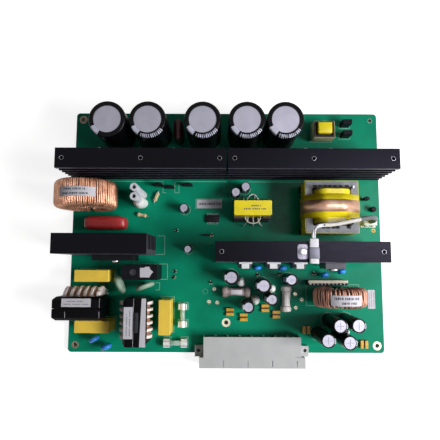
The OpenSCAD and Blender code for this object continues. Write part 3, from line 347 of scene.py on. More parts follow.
# A turned shape from a closed profile of (radius, z) points
def lathe(profile, angles=None, steps=48, paint=None):
    bm = bmesh.new()
    angles = angles or around(steps)
    rings = []
    for r, z in profile:
        spots = angles if r > 1e-6 else [0]
        rings.append([bm.verts.new((r * cos(a), r * sin(a), z)) for a in spots])
    count = len(angles)
    for i, (low, high) in enumerate(zip(rings, rings[1:] + rings[:1])):
        if len(low) == 1 and len(high) == 1:
            continue
        for k in range(count):
            n = (k + 1) % count
            corners = [low[k % len(low)], low[n % len(low)], high[n % len(high)], high[k % len(high)]]
            face = bm.faces.new(list(dict.fromkeys(corners)))
            if paint:
                face.material_index = paint(i, angles[k])
    return outward(bm)


def rod(r, length):
    return lathe([(0, 0), (r, 0), (r, length), (0, length)], steps=20)


# A profile from its lower half
def mirrored(half):
    return half + [(r, -z) for r, z in half[::-1] if z]


# A round bar along a line
def sweep(points, radius, sides=10):
    points = [Vector(p) for p in points]
    last = len(points) - 1
    tangents = [(points[min(i + 1, last)] - points[max(i - 1, 0)]).normalized() for i in range(last + 1)]
    ref = Vector((0, 0, 1)) if abs(tangents[0].z) < 0.9 else Vector((1, 0, 0))
    u = tangents[0].cross(ref).normalized()
    rows = []
    for p, t in zip(points, tangents):
        u = (u - t * u.dot(t)).normalized()
        v = t.cross(u)
        rows.append([p + radius * (cos(a) * u + sin(a) * v) for a in around(sides)])
    return skin(rows)


def smooth_line(points, per=6):
    points = [Vector(p) for p in points]
    out = []
    for i in range(len(points) - 1):
        a, b = points[max(i - 1, 0)], points[i]
        c, d = points[i + 1], points[min(i + 2, len(points) - 1)]
        for k in range(per):
            t = k / per
            out.append(0.5 * (2 * b + (c - a) * t + (2 * a - 5 * b + 4 * c - d) * t ** 2
                              + (3 * b - a - 3 * c + d) * t ** 3))
    out.append(points[-1])
    return out


def slab(outline, z0, z1, edge=0.0, steps=2):
    bm = skin([[(x, y, z) for x, y in outline] for z in (z0, z1)])
    if edge:
        top = bm.faces[:][-1]
        soften(bm, top.edges[:], edge, steps)
    return bm


def arc(cx, cy, r, a0, a1, steps=10):
    return [(cx + r * cos(radians(a0 + (a1 - a0) * k / steps)),
             cy + r * sin(radians(a0 + (a1 - a0) * k / steps))) for k in range(steps + 1)]


CORNERS = ((1, 1, 0), (-1, 1, 90), (-1, -1, 180), (1, -1, 270))


def round_rect(w, d, r, steps=5):
    out = []
    for sx, sy, start in CORNERS:
        out += arc(sx * (w / 2 - r), sy * (d / 2 - r), r, start, start + 90, steps)
    return out


BOARD_TOP = whole("circuit_board")[1].z
SINKS = ("left_heatsink", "right_heatsink", "bridge_heatsink", "output_heatsink")

# CAD nodes that keep their shape, with the width of their softened edges
FINISHES = [
    (MASK, 0.2, ["circuit_board"]),
    (TIN, 0, ["solder_joints", "component_leads"]),
    (ALUMINIUM, 0.2, ["bulk_capacitor_cans"]),
    (ALUMINIUM, 0.1, ["small_capacitor_cans"]),
    (FILM_DARK, 0.4, ["film_capacitor_small"]),
    (BOX_YELLOW, 0.5, ["box_capacitors"]),
    (CHIP_BROWN, 0.15, ["chip_capacitors"]),
    (CHIP_GOLD, 0.15, ["chip_capacitor_bars"]),
    (SINK, 0.25, SINKS),
    (PACKAGE, 0.3, ["power_transistors"]),
    (PACKAGE, 0.4, ["bridge_rectifier"]),
    # Output rectifiers: own grey plus painted sheen
    (PACKAGE_GREY_SHEEN, 0.3, ["output_rectifiers"]),
    (CLIP_WHITE, 0.3, ["rectifier_clips"]),
    (CORE_COATED, 0, ["input_choke_core", "output_choke_core"]),
    (CREAM, 0.3, ["terminal_strip_cap"]),
    (FERRITE, 0.5, ["main_transformer_core"]),
    (BOBBIN_BLACK, 0.3, ["main_transformer_bobbin", "drive_transformer_base", "aux_transformer_bobbin"]),
    (TAPE, 0.3, ["main_transformer_coil"]),
    (TAPE, 0, ["main_transformer_tape"]),
    (COPPER_BAND, 0, ["main_transformer_band"]),
    (TAPE, 0.4, ["drive_transformer_coil", "aux_transformer_coil"]),
    (FERRITE_DARK, 0.4, ["drive_transformer_core"]),
    (FERRITE_DARK, 0.3, ["aux_transformer_core"]),
    (CASE, 0.4, ["relay_case", "box_modules"]),
    (GLASS, 0, ["fuse_tubes"]),
    (FUSE_METAL, 0.2, ["fuse_caps"]),
    (FUSE_METAL, 0.12, ["fuse_clips"]),
    (TUBE, 0.3, ["upright_tubes"]),
    (GREY, 0.3, ["connector_shell"]),
    # Connector blades darkened as painted shade
    (BLADE_SHADED, 0.12, ["connector_blades"]),
]
for look, edge, nodes in FINISHES:
    for node in nodes:
        finish(node, look, edge)

# Sawn ends of the heatsinks, front-facing fin tips made lighter as painted sheen, and bare laminate on the
# board's cut edges and in its holes
FACING = 0.95
for node in SINKS:
    # Faces turned to the front take the painted sheen
    paint_faces(node, (SAWN, PAINTED_SHEEN), lambda n: 1 if abs(n.x) > FACING else 2 if n.y < -FACING else 0)
paint_faces("circuit_board", (LAMINATE,), lambda n: 1 if abs(n.z) < 0.5 else 0)


# Capacitor sleeves with a rolled lip, a crimp near the foot and a pale stripe
LARGE_BEND, SMALL_BEND, SLEEVE_WALL = 1.3, 0.4, 0.5
LARGE_LIP, SMALL_LIP, FILTER_LIP = 0.745, 0.84, 0.75
LARGE_STRIPE_H, LARGE_STRIPE_TURN = 2.0, 223
LOW_R, FILTER_TO_X = 4.2, 70


def sleeve(r, h, lip, wall, centre, half, stripe_h, crimp_z):
    start, stop = radians(centre - half), radians(centre + half)
    band = [start + (stop - start) * k / 6 for k in range(6)]
    rest = 2 * pi - (stop - start)
    angles = band + [stop + rest * k / 50 for k in range(50)]
    bend = LARGE_BEND if r > 10 else SMALL_BEND
    dent = 0.04 * r
    rim = [(r - wall, 0), (r - 0.15, 0), (r, 0.2), (r, crimp_z - 2 * dent), (r - 0.8 * dent, crimp_z - dent),
           (r - dent, crimp_z), (r - 0.8 * dent, crimp_z + dent), (r, crimp_z + 2 * dent),
           (r, h - bend - stripe_h)]
    first = len(rim) - 1
    rim += arc(r - bend, h - bend, bend, 0, 90, 5)
    rim += [(lip + 0.15, h), (lip, h - 0.12), (lip, h - wall), (r - wall, h - wall)]
    final = len(rim) - 4
    return lathe(rim, angles, paint=lambda i, a: 1 if first <= i <= final and a < stop - 1e-6 else 0)


def sleeves(name, node, turn, half, lip_share, stripe_h=None):
    bm = bmesh.new()
    for lo, hi, c, size in solids(node):
        r, h = size.x / 2, size.z
        crimp_z = min(8.0, 0.2 * h)
        side = stripe_h or h - crimp_z - 0.4 * r
        part = sleeve(r, h, r * lip_share(c, r), SLEEVE_WALL, turn(c, r), half, side, crimp_z)
        put(bm, part, at(c.x, c.y, lo.z))
    piece(name, bm, [SLEEVE, STRIPE], node)


def small_stripe(c, r):
    if r < LOW_R:
        return 250
    return 180 if c.x < FILTER_TO_X else 0


def small_lip(c, r):
    return FILTER_LIP if r > LOW_R and c.x < FILTER_TO_X else SMALL_LIP


sleeves("bulk_sleeves", "bulk_capacitor_sleeves", lambda c, r: LARGE_STRIPE_TURN, 16, lambda c, r: LARGE_LIP,
        LARGE_STRIPE_H)
sleeves("small_sleeves", "small_capacitor_sleeves", small_stripe, 24, small_lip)


# Pan-head screws with a cross recess, made along +Z
def cross_head(r, h):
    rim = ((0.97, 0), (1, 0.12), (1, 0.5), (0.92, 0.8), (0.74, 0.97), (0.62, 1))
    steps = 24
    rows = [[(r * d * cos(a), r * d * sin(a), z * h) for a in around(steps)] for d, z in rim]
    bm = skin(rows, caps=False)
    foot, crown = bm.verts[:steps], bm.verts[-steps:]
    bm.faces.new(foot[::-1])
    long, wide = r * 0.5, r * 0.13
    shape = [(wide, wide), (long, wide), (long, -wide), (wide, -wide), (wide, -long), (-wide, -long),
             (-wide, -wide), (-long, -wide), (-long, wide), (-wide, wide), (-wide, long), (wide, long)]
    top = [bm.verts.new((x, y, h)) for x, y in shape]
    floor = [bm.verts.new((x * 0.8, y * 0.8, h * 0.45)) for x, y in shape]
    bridge(bm, top, floor)
    bm.faces.new(floor)
    edges = [bm.edges.get((loop[k - 1], loop[k])) for loop in (top, crown) for k in range(len(loop))]
    bmesh.ops.triangle_fill(bm, use_beauty=True, edges=edges)
    return outward(bm)


def screws():
    bm = bmesh.new()
    head_r, head_h, stem = 2.9, 2.0, 1.45
    for lo, hi, c, size in solids("device_screws"):
        if size.z > size.x * 1.02 and size.z > size.y:
            put(bm, cross_head(head_r, head_h), at(c.x, c.y, hi.z - head_h, 20))
            put(bm, rod(stem, size.z - head_h), at(c.x, c.y, lo.z))
            continue
        toward = 1 if c.y > 0 else -1
        face_y = hi.y if toward > 0 else lo.y
        tip = at(c.x, face_y - toward * head_h, c.z) @ turned("X", -90 * toward)
        put(bm, cross_head(head_r, head_h), tip)
        put(bm, rod(stem, head_h - size.y), tip)
    piece("screws", bm, TIN, "device_screws")


screws()


# Ring chokes: one wire wound round the core, side by side outside and in two layers through the bore
RING_ENVELOPE, RING_WIRE, RING_FILL = 1.7, 1.5, 0.965
SCATTER_STEP, SCATTER_GAIN = 12.9898, 43758.5453


def ring_winding(name, core, node, spacing, slip, material):
    lo, hi, c, size = whole(core)
    co = np.array([v.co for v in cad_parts[core].data.vertices]) / MM
    rho = np.hypot(co[:, 0] - c.x, co[:, 2] - c.z)
    inner, outer = float(rho.min()), float(rho.max())
    a, b = (outer - inner) / 2, size.y / 2
    corner = 0.25 * (outer - inner)
    mid = (outer + inner) / 2
    loop = [(a, 0, 1, 0)]
    for sx, sy, start in CORNERS:
        for nx, ny in arc(0, 0, 1, start, start + 90, 4):
            loop.append((sx * (a - corner) + corner * nx, sy * (b - corner) + corner * ny, nx, ny))
    wire, high = RING_WIRE, RING_ENVELOPE - RING_WIRE / 2
    out_r = outer + high
    turns = int(2 * pi * out_r * RING_FILL / (wire * spacing))
    gap = 2 * pi * (1 - RING_FILL)
    points = []
    for i in range(turns):
        wobble = slip * (sin(i * SCATTER_STEP) * SCATTER_GAIN % 1 - 0.5)
        low = 0.1 + wire / 2 if i % 2 == 0 else 0.1 + wire * 1.3
        for k, (x, y, nx, ny) in enumerate(loop):
            share = (i + k / len(loop)) / turns
            lift = high + (low - high) * min(1, max(0, (a - x) / (2 * a)))
            ang = -pi / 2 + gap / 2 + (2 * pi - gap) * share + wobble * 2 * pi / turns
            rho = mid + x + nx * lift
            points.append((c.x + rho * cos(ang), c.y + y + ny * lift, c.z + rho * sin(ang)))
    points = [(*points[0][:2], BOARD_TOP)] + points + [(*points[-1][:2], BOARD_TOP)]
    piece(name, sweep(points, wire / 2, 7), material, node, sharp=70)
    return c, out_r + wire / 2


input_c, input_r = ring_winding("input_winding", "input_choke_core", "input_choke_winding", 1.1, 0.5, COPPER)
output_c, output_r = ring_winding("output_winding", "output_choke_core", "output_choke_winding", 1.62, 0.9,
                                  COPPER_DULL)


# Rows of plain dashes where a label carries print, each as (v, first u, last u, height)
INK_T, PAPER_T = 0.03, 0.14
ink = bmesh.new()


def dash_rows(place, rows):
    for n, (v, start, stop, height) in enumerate(rows):
        u, k = start, n
        while u < stop:
            half = 0.26 + 0.09 * (k * 7 % 5)
            put(ink, block((-half, v - height / 2, 0), (half, v + height / 2, INK_T), 0), place(u + half))
            u += 2 * half + (1.3 if k % 5 == 4 else 0.5)
            k += 1


# A paper label that lies round the top of a ring
def ring_label(name, c, r, y0, y1, rows):
    dash_rows(lambda u: at(*c) @ Matrix.Rotation(u / r, 4, "Y") @ at(0, 0, r + PAPER_T), rows)
    corners = ((r, y0), (r, y1), (r + PAPER_T, y1), (r + PAPER_T, y0))
    half, steps = 33.5, 16
    angles = [radians(90 - half + 2 * half * k / steps) for k in range(steps + 1)]
    strip = [[(c.x + d * cos(a), c.y + y, c.z + d * sin(a)) for d, y in corners] for a in angles]
    piece(name, skin(strip), LABEL)


ring_label("input_label", input_c, input_r, -4.4, 3.2, [(1.3, -10.5, 6.0, 1.5), (-2.2, -12.0, 9.5, 1.5)])
ring_label("output_label", output_c, output_r, -5.4, 2.8, [(0.3, -9.5, 8.5, 1.8), (-3.2, -4.0, 7.0, 1.7)])


# Terminal strip: a comb of posts with a contact in each gap
def terminal_strip():
    lo, hi, c, size = whole("terminal_strip")
    bm = bmesh.new()
    put(bm, block(lo, (hi.x, hi.y, lo.z + 5)))
    posts, post, foot_z = 11, 1.6, lo.z + 4.8
    pitch = (size.x - post) / (posts - 1)
    for i in range(posts):
        x = lo.x + i * pitch
        put(bm, block((x, lo.y, foot_z), (x + post, hi.y - 1.3, hi.z - 0.4), 0.2))
        if i < posts - 1:
            m = x + (post + pitch) / 2
            put(bm, block((m - 0.45, lo.y + 0.6, foot_z), (m + 0.45, lo.y + 1.4, hi.z - 1.2), 0.15), mat=1)
    put(bm, block((lo.x, hi.y - 1.5, foot_z), (hi.x, hi.y, hi.z - 0.02), 0.2))
    piece("terminal_comb", bm, [BOBBIN_BLACK, TIN], "terminal_strip")


terminal_strip()


# Line chokes: each is made along X in its own frame, and then turned and placed
LINE_L, LINE_W, LINE_H = 37.5, 18.4, 38.0
LINE_BAR, LINE_END, LINE_AXIS, LINE_LEG, LINE_OFFSET = 5.0, 4.0, 15.2, 9.0, 2.8
LINE_FLANGE_R, LINE_FLANGE, LINE_END_FLANGE, LINE_SECTIONS, LINE_FOOT = 13.6, 2.2, 2.4, 5, 20.0
LINE_INNER = LINE_LEG / 2 + 0.05
LINE_TUBE = LINE_INNER + 1.2
LINE_SPAN = LINE_L - 2 * LINE_END
LINE_HALF = (LINE_SPAN - 0.1) / 2
LINE_FIRST = LINE_END_FLANGE - LINE_HALF
LINE_STEP = (2 * LINE_HALF - 2 * LINE_END_FLANGE + LINE_FLANGE) / LINE_SECTIONS
LINE_TURN = at(0, LINE_OFFSET, LINE_AXIS) @ turned("Y", 90)


def line_core_half(side):
    x, z0, z1, z2 = LINE_L / 2, LINE_AXIS - LINE_LEG / 2 - 2, LINE_H - LINE_BAR, LINE_H
    gap = x - LINE_END
    shape = [(-x, z0), (-gap, z0), (-gap, z1), (gap, z1), (gap, z0), (x, z0), (x, z2), (-x, z2)]
    far = side * LINE_W / 2
    bm = skin([[(px, y, pz) for px, pz in shape] for y in (side * 0.18, far)])

    def outside(v):
        return abs(v.co.y - far) < 1e-4 and abs(abs(v.co.x) - x) < 1e-4
    soften(bm, [e for e in bm.edges if all(map(outside, e.verts))], 2.4, 1)
    soften(bm, [e for e in bm.edges if len(e.link_faces) == 2 and e.calc_face_angle(0) > 0.5], 0.35)
    return bm


def line_bobbin():
    bm = bmesh.new()
    r, tube, half, thick = LINE_FLANGE_R, LINE_TUBE, LINE_HALF, LINE_END_FLANGE
    put(bm, lathe([(LINE_INNER, -half), (tube, -half), (tube, half), (LINE_INNER, half)]), LINE_TURN)
    for i in range(1, LINE_SECTIONS):
        z1 = LINE_FIRST + i * LINE_STEP
        z0 = z1 - LINE_FLANGE
        rim = [(tube - 0.2, z0), (r - 0.35, z0), (r, z0 + 0.3), (r, z1 - 0.3), (r - 0.35, z1),
               (tube - 0.2, z1)]
        put(bm, lathe(rim), LINE_TURN)
    for s in (-1, 1):
        lobe = 0.45 if s > 0 else 0
        reach = [(r - 0.35 + lobe * cos(13 * a), a) for a in around(96)]
        x = s * (half - thick / 2)
        outline = [(d * cos(a), d * sin(a)) for d, a in reach]
        put(bm, slab(outline, x - thick / 2, x + thick / 2, 0.3), LINE_TURN)
        put(bm, block((x - thick / 2, LINE_OFFSET - LINE_FOOT / 2, 0),
                      (x + thick / 2, LINE_OFFSET + LINE_FOOT / 2, LINE_AXIS - tube - 1)))
    return bm


def line_winding():
    bm = bmesh.new()
    wire, gap = 0.86, 0.05
    width = LINE_STEP - LINE_FLANGE - 2 * gap
    count = int(width / wire)
    r = width / count / 2
    outer = LINE_FLANGE_R - 2.4 - r
    for i in range(LINE_SECTIONS):
        z = LINE_FIRST + i * LINE_STEP + gap
        rim = [(LINE_TUBE + gap, z)]
        for k in range(count):
            rim += arc(outer, z + r * (2 * k + 1), r, -90, 90, 6)
        rim.append((LINE_TUBE + gap, z + width))
        put(bm, lathe(rim, steps=56), LINE_TURN)
    return bm


# On top of a core along X and of one along Y: label, its dashes, pale lines as painted edge highlights, and
# bosses with edge and look
LINE_TOPS = {
    True: [(-11.2, 1.4, 11.6, 7.9), [(5.7, -7.0, 6.0, 0.6), (3.5, -9.4, 9.4, 0.6)],
           [(-8.34, -6.8, -8.06, -2.2), (18.06, -6.8, 18.34, -2.2), (18.15, 1.0, 18.4, 8.0)],
           [((-7.6, -6.6, -0.2), (18.0, -2.6, 0.35), 0.3, 1)]],
    False: [(-12.3, 1.1, 11.9, 8.2), [(5.8, -9.6, 6.0, 0.6), (3.4, -10.0, 9.4, 0.6)],
            [(-18.3, 0.5, 18.3, 0.75)],
            [((-7.6, -3.2, -0.2), (7.6, 0.4, 0.6), 0.3, 0), ((-6.4, -2.4, 0.5), (6.4, -0.4, 0.9), 0.25, 0)]],
}
LINE_STRIP = [(-18.4, -8.9), (18.4, -8.9), (18.4, -5.5), (-18.4, -4.2)]


def line_chokes():
    cores, bobbins, windings, labels, marks = (bmesh.new() for _ in range(5))
    for lo, hi, c, size in solids("line_choke_cores"):
        along_x = size.x > size.y
        matrix = at(c.x, c.y, BOARD_TOP, 0 if along_x else 90)
        for side in (-1, 1):
            put(cores, line_core_half(side), matrix)
        put(cores, lathe(mirrored([(0, -LINE_SPAN / 2), (LINE_LEG / 2, -LINE_SPAN / 2)])), matrix @ LINE_TURN)
        put(bobbins, line_bobbin(), matrix)
        put(windings, line_winding(), matrix)
        top = matrix @ at(0, 0, LINE_H)
        paper, rows, lines, bosses = LINE_TOPS[along_x]
        put(labels, block((*paper[:2], 0), (*paper[2:], PAPER_T), 0.05, 1), top)
        dash_rows(lambda u: top @ at(u, 0, PAPER_T), rows)
        # Thin pale strips of label paper, painted as highlights on edges of the core
        for line in lines:
            put(labels, block((*line[:2], 0), (*line[2:], 0.1), 0.03, 1), top)
        for low, high, edge, look in bosses:
            put(marks, block(low, high, edge), top, mat=look)
        if not along_x:
            put(labels, slab(LINE_STRIP, 0, PAPER_T, 0.05, 1), top)
    piece("line_cores", cores, CORE_BLACK, "line_choke_cores")
    piece("line_bosses", marks, [CORE_WORN, CORE_BLACK])
    piece("line_bobbins", bobbins, BOBBIN_PALE, "line_choke_bobbins")
    piece("line_windings", windings, COPPER_PALE, "line_choke_windings", sharp=60)
    piece("line_labels_and_painted_highlights", labels, LABEL)


line_chokes()


# Dipped capacitors: a cushion of resin with rounded ends, and round discs
def cushion(size, power, rows=20, cols=36):
    def share(value):
        return copysign(abs(value) ** (2 / power), value)
    half = size / 2
    rings = []
    for i in range(1, rows):
        v = pi * (i / rows - 0.5)
        flat = share(cos(v))
        rings.append([(half.x * flat * share(cos(u)), half.y * flat * share(sin(u)),
                       half.z * share(sin(v))) for u in around(cols)])
    bm = skin(rings, caps=False)
    for ring, z in ((bm.verts[:cols], -half.z), (bm.verts[-cols:], half.z)):
        pole = bm.verts.new((0, 0, z))
        for k in range(cols):
            bm.faces.new((pole, ring[k - 1], ring[k]))
    return outward(bm)


def film_capacitor():
    lo, hi, c, size = whole("film_capacitor_large")
    bm = bmesh.new()
    put(bm, cushion(size, 4.6), at(*c))
    for x in (lo.x + 4, hi.x - 4):
        foot = lathe([(0, 0), (1.5, 0), (1.2, -1), (0.6, -1.5), (0, -1.5)], steps=20)
        put(bm, foot, at(x, c.y, lo.z + 0.6))
    piece("film_body", bm, FILM_RED, "film_capacitor_large", sharp=80)


film_capacitor()


# The direction of the largest upright face of a CAD solid
def face_turn(node, steep, near):
    faces = [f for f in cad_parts[node].data.polygons if abs(f.normal.z) < steep and near(f.center / MM)]
    normal = max(faces, key=lambda f: f.area).normal if faces else Vector((1, 0, 0))
    return degrees(atan2(normal.y, normal.x))


def discs(name, node, material, thick):
    bm = bmesh.new()
    t = thick / 2
    for lo, hi, c, size in solids(node):
        r = size.z / 2
        spin = face_turn(node, 0.05, lambda p: (p - c).xy.length < r) + 90
        rim = mirrored([(0, -t), (r * 0.55, -t), (r * 0.8, -t * 0.86), (r * 0.94, -t * 0.5), (r, 0)])
        put(bm, lathe(rim, steps=40), at(*c, spin) @ turned("X", 90))
    piece(name, bm, material, node, sharp=70)


discs("blue_discs", "disc_capacitors", DISC_BLUE, 4.0)
discs("thermistors", "thermistor_discs", DISC_GREEN, 4.6)


# Beads of silicone, of which the one at the left is a larger lump
LUMP_TO_X, LUMP_TURN, LUMP_RISE, LUMP_BULGE = -50, 235, 0.35, 0.45


def beads():
    bm = bmesh.new()
    rows, cols, straight = 14, 20, 0.55
    for n, (lo, hi, c, size) in enumerate(solids("silicone_beads")):
        lump = 1 if c.x < LUMP_TO_X else 0
        size.z *= 1 + LUMP_RISE * lump
        rings = []
        for i in range(rows):
            t = i / (rows - 1)
            r = 1.0 if t < straight else sqrt(max(0.02, 1 - ((t - straight) / (1 - straight)) ** 2))
            ring = []
            for a in around(cols):
                bulge = 1 + 0.07 * sin(3 * a + n) * sin(5 * t + n)
                bulge += 0.05 * sin(7 * t + 2 * a + n)
                bulge += LUMP_BULGE * lump * max(0, cos(a - radians(LUMP_TURN))) * sin(pi * t)
                ring.append((c.x + size.x / 2 * r * bulge * cos(a),
                             c.y + size.y / 2 * r * bulge * sin(a), lo.z + size.z * t))
            rings.append(ring)
        put(bm, skin(rings))
    piece("silicone", bm, SILICONE, "silicone_beads", sharp=80)


beads()


# Small packages: flat chips with legs, a small transistor, a round part and two axial resistors
CHIP_PITCH, AXIAL_HALF = 1.27, 4.1


def flat_chip(body, legs, lo, hi, c, size):
    put(body, block((lo.x, lo.y, lo.z + 0.15), hi, 0.25))
    count = int(size.x / CHIP_PITCH) - 1
    for i in range(count):
        x = c.x + (i - (count - 1) / 2) * CHIP_PITCH
        for s in (-1, 1):
            y = c.y + s * size.y / 2
            route = ((-0.2, 1.1), (0.5, 1.1), (0.8, 0.3), (1.5, 0.18))
            put(legs, sweep([(x, y + s * out, lo.z + up) for out, up in route], 0.2, 6))


def standing_package(body, legs, lo, c, size):
    stand = 1.2 if size.z > 5 else 0.5
    h, w, d = size.z - stand, size.x / 2, size.y / 2
    if abs(size.x - size.y) < 0.05:
        rim = [(0, 0), (w - 0.2, 0), (w, 0.3), (w, h - 0.6), (w - 0.5, h), (0, h)]
        part = lathe(rim, steps=28)
    else:
        flat = [(-w * 0.9, -d), (w * 0.9, -d)] + arc(0, -d + 0.3, w, 10, 170, 10)
        part = slab([(x, max(-d, min(d, y * d / w))) for x, y in flat], 0, h, 0.25)
    put(body, part, at(c.x, c.y, lo.z + stand))
    for s in (-1, 1):
        x = c.x + s * CHIP_PITCH
        put(legs, sweep([(x, c.y, lo.z), (x, c.y, lo.z + stand + 0.3)], 0.3, 8))


def axial_resistor(axial, legs, c, size):
    r, half = size.z / 2, AXIAL_HALF
    rim = mirrored([(0, -half), (r * 0.6, -half), (r, -half + 0.8), (r, -half + 2), (r * 0.86, -half + 2.5)])
    turn = at(*c, face_turn("chip_packages", 0.02, lambda p: (p - c).length < 5.5))
    put(axial, lathe(rim, steps=24), turn @ turned("Y", 90))
    for s in (-1, 1):
        route = [(s * half * 0.9, 0, 0), (s * 5, 0, 0), (s * 5.8, 0, -0.5), (s * 6, 0, BOARD_TOP - c.z)]
        put(legs, sweep(smooth_line(route, 4), 0.35, 8), turn)


def packages():
    body, legs, axial = bmesh.new(), bmesh.new(), bmesh.new()
    for lo, hi, c, size in solids("chip_packages"):
        if size.z < 2.4:
            flat_chip(body, legs, lo, hi, c, size)
        elif abs(lo.z - BOARD_TOP) < 0.02 and size.z > 3:
            standing_package(body, legs, lo, c, size)
        else:
            axial_resistor(axial, legs, c, size)
    piece("small_packages", body, PACKAGE, "chip_packages")
    piece("package_legs", legs, TIN)
    piece("axial_resistors", axial, BEIGE)


packages()


# Rod chokes: ferrite ends with a shrunk sleeve over the wound middle
ROD_SPIN, ROD_END_L, ROD_SPLIT_X = (0, 87), 5.0, 30.0


def rod_chokes():
    ends, sleeve_bm, labels = bmesh.new(), bmesh.new(), bmesh.new()
    finishes = [ROD_TAUPE, ROD_PALE]
    for part, node in ((ends, "rod_choke_ends"), (sleeve_bm, "rod_choke_sleeves")):
        for lo, hi, c, size in solids(node):
            n = 0 if c.x < ROD_SPLIT_X else 1
            r = size.z / 2
            if part is ends:
                half = ROD_END_L / 2
                rim = mirrored([(0, -half), (r - 1.7, -half), (r - 0.5, -half + 0.5), (r, -half + 1.7)])
            else:
                length = max(size.x, size.y) - 2 * r * abs(sin(radians(2 * ROD_SPIN[n])) / 2)
                waist = [(k / 16, r * (1 - 0.09 * sin(pi * k / 16))) for k in range(17)]
                rim = [(d + 0.06 * sin(19 * t), length * (t - 0.5)) for t, d in waist]
                rim = [(0, -length / 2)] + rim + [(0, length / 2)]
            put(part, lathe(rim, steps=36), at(*c, ROD_SPIN[n]) @ turned("Y", 90), mat=n)
            if part is sleeve_bm and n == 0:
                put(labels, block((-4.6, -2.0, r * 0.9), (4.8, 2.0, r + 0.1), 0.1), at(*c))
    piece("rod_ends", ends, finishes, "rod_choke_ends")
    piece("rod_sleeves", sleeve_bm, finishes, "rod_choke_sleeves")
    piece("rod_label", labels, LABEL)


rod_chokes()


# Thermal sensor: moulded ends with a metal jacket, a clamping tab and a sleeved lead
JACKET_FROM, JACKET_TO, TALL_SCREW = 3.6, 12.4, 6.5


def sensor():
    lo, hi, c, size = whole("sensor_block")
    ends = block((lo.x + 0.5, lo.y, lo.z), (hi.x - 0.5, hi.y, hi.z), 0.6, 3)
    piece("sensor_ends", ends, WHITE, "sensor_block")
    jacket = block((lo.x, lo.y + JACKET_FROM, lo.z), (hi.x, lo.y + JACKET_TO, hi.z + 0.25), 0.5, 3)
    piece("sensor_jacket", jacket, JACKET)
    lo, hi, c, size = whole("sensor_tab")
    tab = bmesh.new()
    put(tab, slab(round_rect(size.x, size.y, 2.2), lo.z, hi.z, 0.25), at(c.x, c.y))
    screw_c = [box[2] for box in solids("device_screws") if box[3].z > TALL_SCREW][0]
    washer = lathe([(1.6, 0), (4.0, 0), (3.8, 0.35), (3.2, 0.5), (1.6, 0.5)], steps=36)
    put(tab, washer, at(screw_c.x, screw_c.y, hi.z))
    piece("sensor_clamp", tab, CLAMP, "sensor_tab")


sensor()


# The lead's two wires from the sensor, then its sleeve to the plug, which is grey near the plug
GREY_FROM_X = 104.0
WIRE_ROUTE = [(0, 0, 0), (0, 2, 0), (0.3, 5, 0), (1.4, 7.5, -1.2), (3.6, 9.4, -2.6), (6.6, 10.4, -3.6),
              (9.6, 10.8, -4)]
WIRE_SIDE = [(1, 0), (1, 0), (0.98, 0.2), (0.85, 0.53), (0.6, 0.8), (0.3, 0.95), (0.1, 1)]
LEAD_ROUTE = [(0, 0, 0), (5, 0.3, 0.3), (10, 0.9, 0.5), (15, 1.7, 0.6), (20, 2.6, 0.7), (25, 3.5, 0.9),
              (30, 4.4, 1.6), (35, 5.2, 3.2), (40, 5.7, 6.6), (44, 5.8, 12), (46.4, 5.5, 18.4), (47.5, 5, 25),
              (47.5, 5, 31.6)]


def sensor_lead():
    lo, hi, c, size = whole("sensor_block")
    wire_d, sleeve_d = 1.6, 3.4
    origin = Vector((c.x, hi.y, c.z))
    wires = bmesh.new()
    for s in (-1, 1):
        gap = s * wire_d * 0.45
        points = [origin + Vector(p) + gap * Vector((*side, 0)) for p, side in zip(WIRE_ROUTE, WIRE_SIDE)]
        put(wires, sweep(smooth_line(points, 5), wire_d / 2, 12))
    pair = piece("sensor_wires", wires, WHITE)
    plug_lo, plug_hi, plug_c, size = whole("sensor_plug")
    start = Vector([a + b for a, b in zip(origin, WIRE_ROUTE[-1])])
    end = Vector((plug_c.x, plug_c.y, plug_hi.z))
    reach = Vector((a / b for a, b in zip(end - start, LEAD_ROUTE[-1])))
    line = smooth_line([start + Vector(p) * reach for p in LEAD_ROUTE], 6)
    tube = sweep(line, sleeve_d / 2, 18)
    for face in tube.faces:
        face.material_index = 1 if face.calc_center_median().x > GREY_FROM_X else 0
    shown = piece("sensor_sleeve", tube, [SLEEVING, SLEEVING_GREY], "sensor_lead", sharp=60)
    plug = bmesh.new()
    step_z = plug_lo.z + 5
    put(plug, block(plug_lo, (plug_hi.x, plug_hi.y, step_z), 0.4))
    put(plug, block((plug_lo.x + 1, plug_lo.y + 1, step_z), (plug_hi.x - 1, plug_hi.y - 1, plug_hi.z), 0.5))
    for x in (end.x - 2.6, end.x + 2.6):
        put(plug, block((x - 1, plug_lo.y + 0.4, step_z + 1), (x + 1, plug_lo.y + 1.2, plug_hi.z - 1.2), 0.2))
    piece("sensor_connector", plug, PLUG_PALE, "sensor_plug")


sensor_lead()


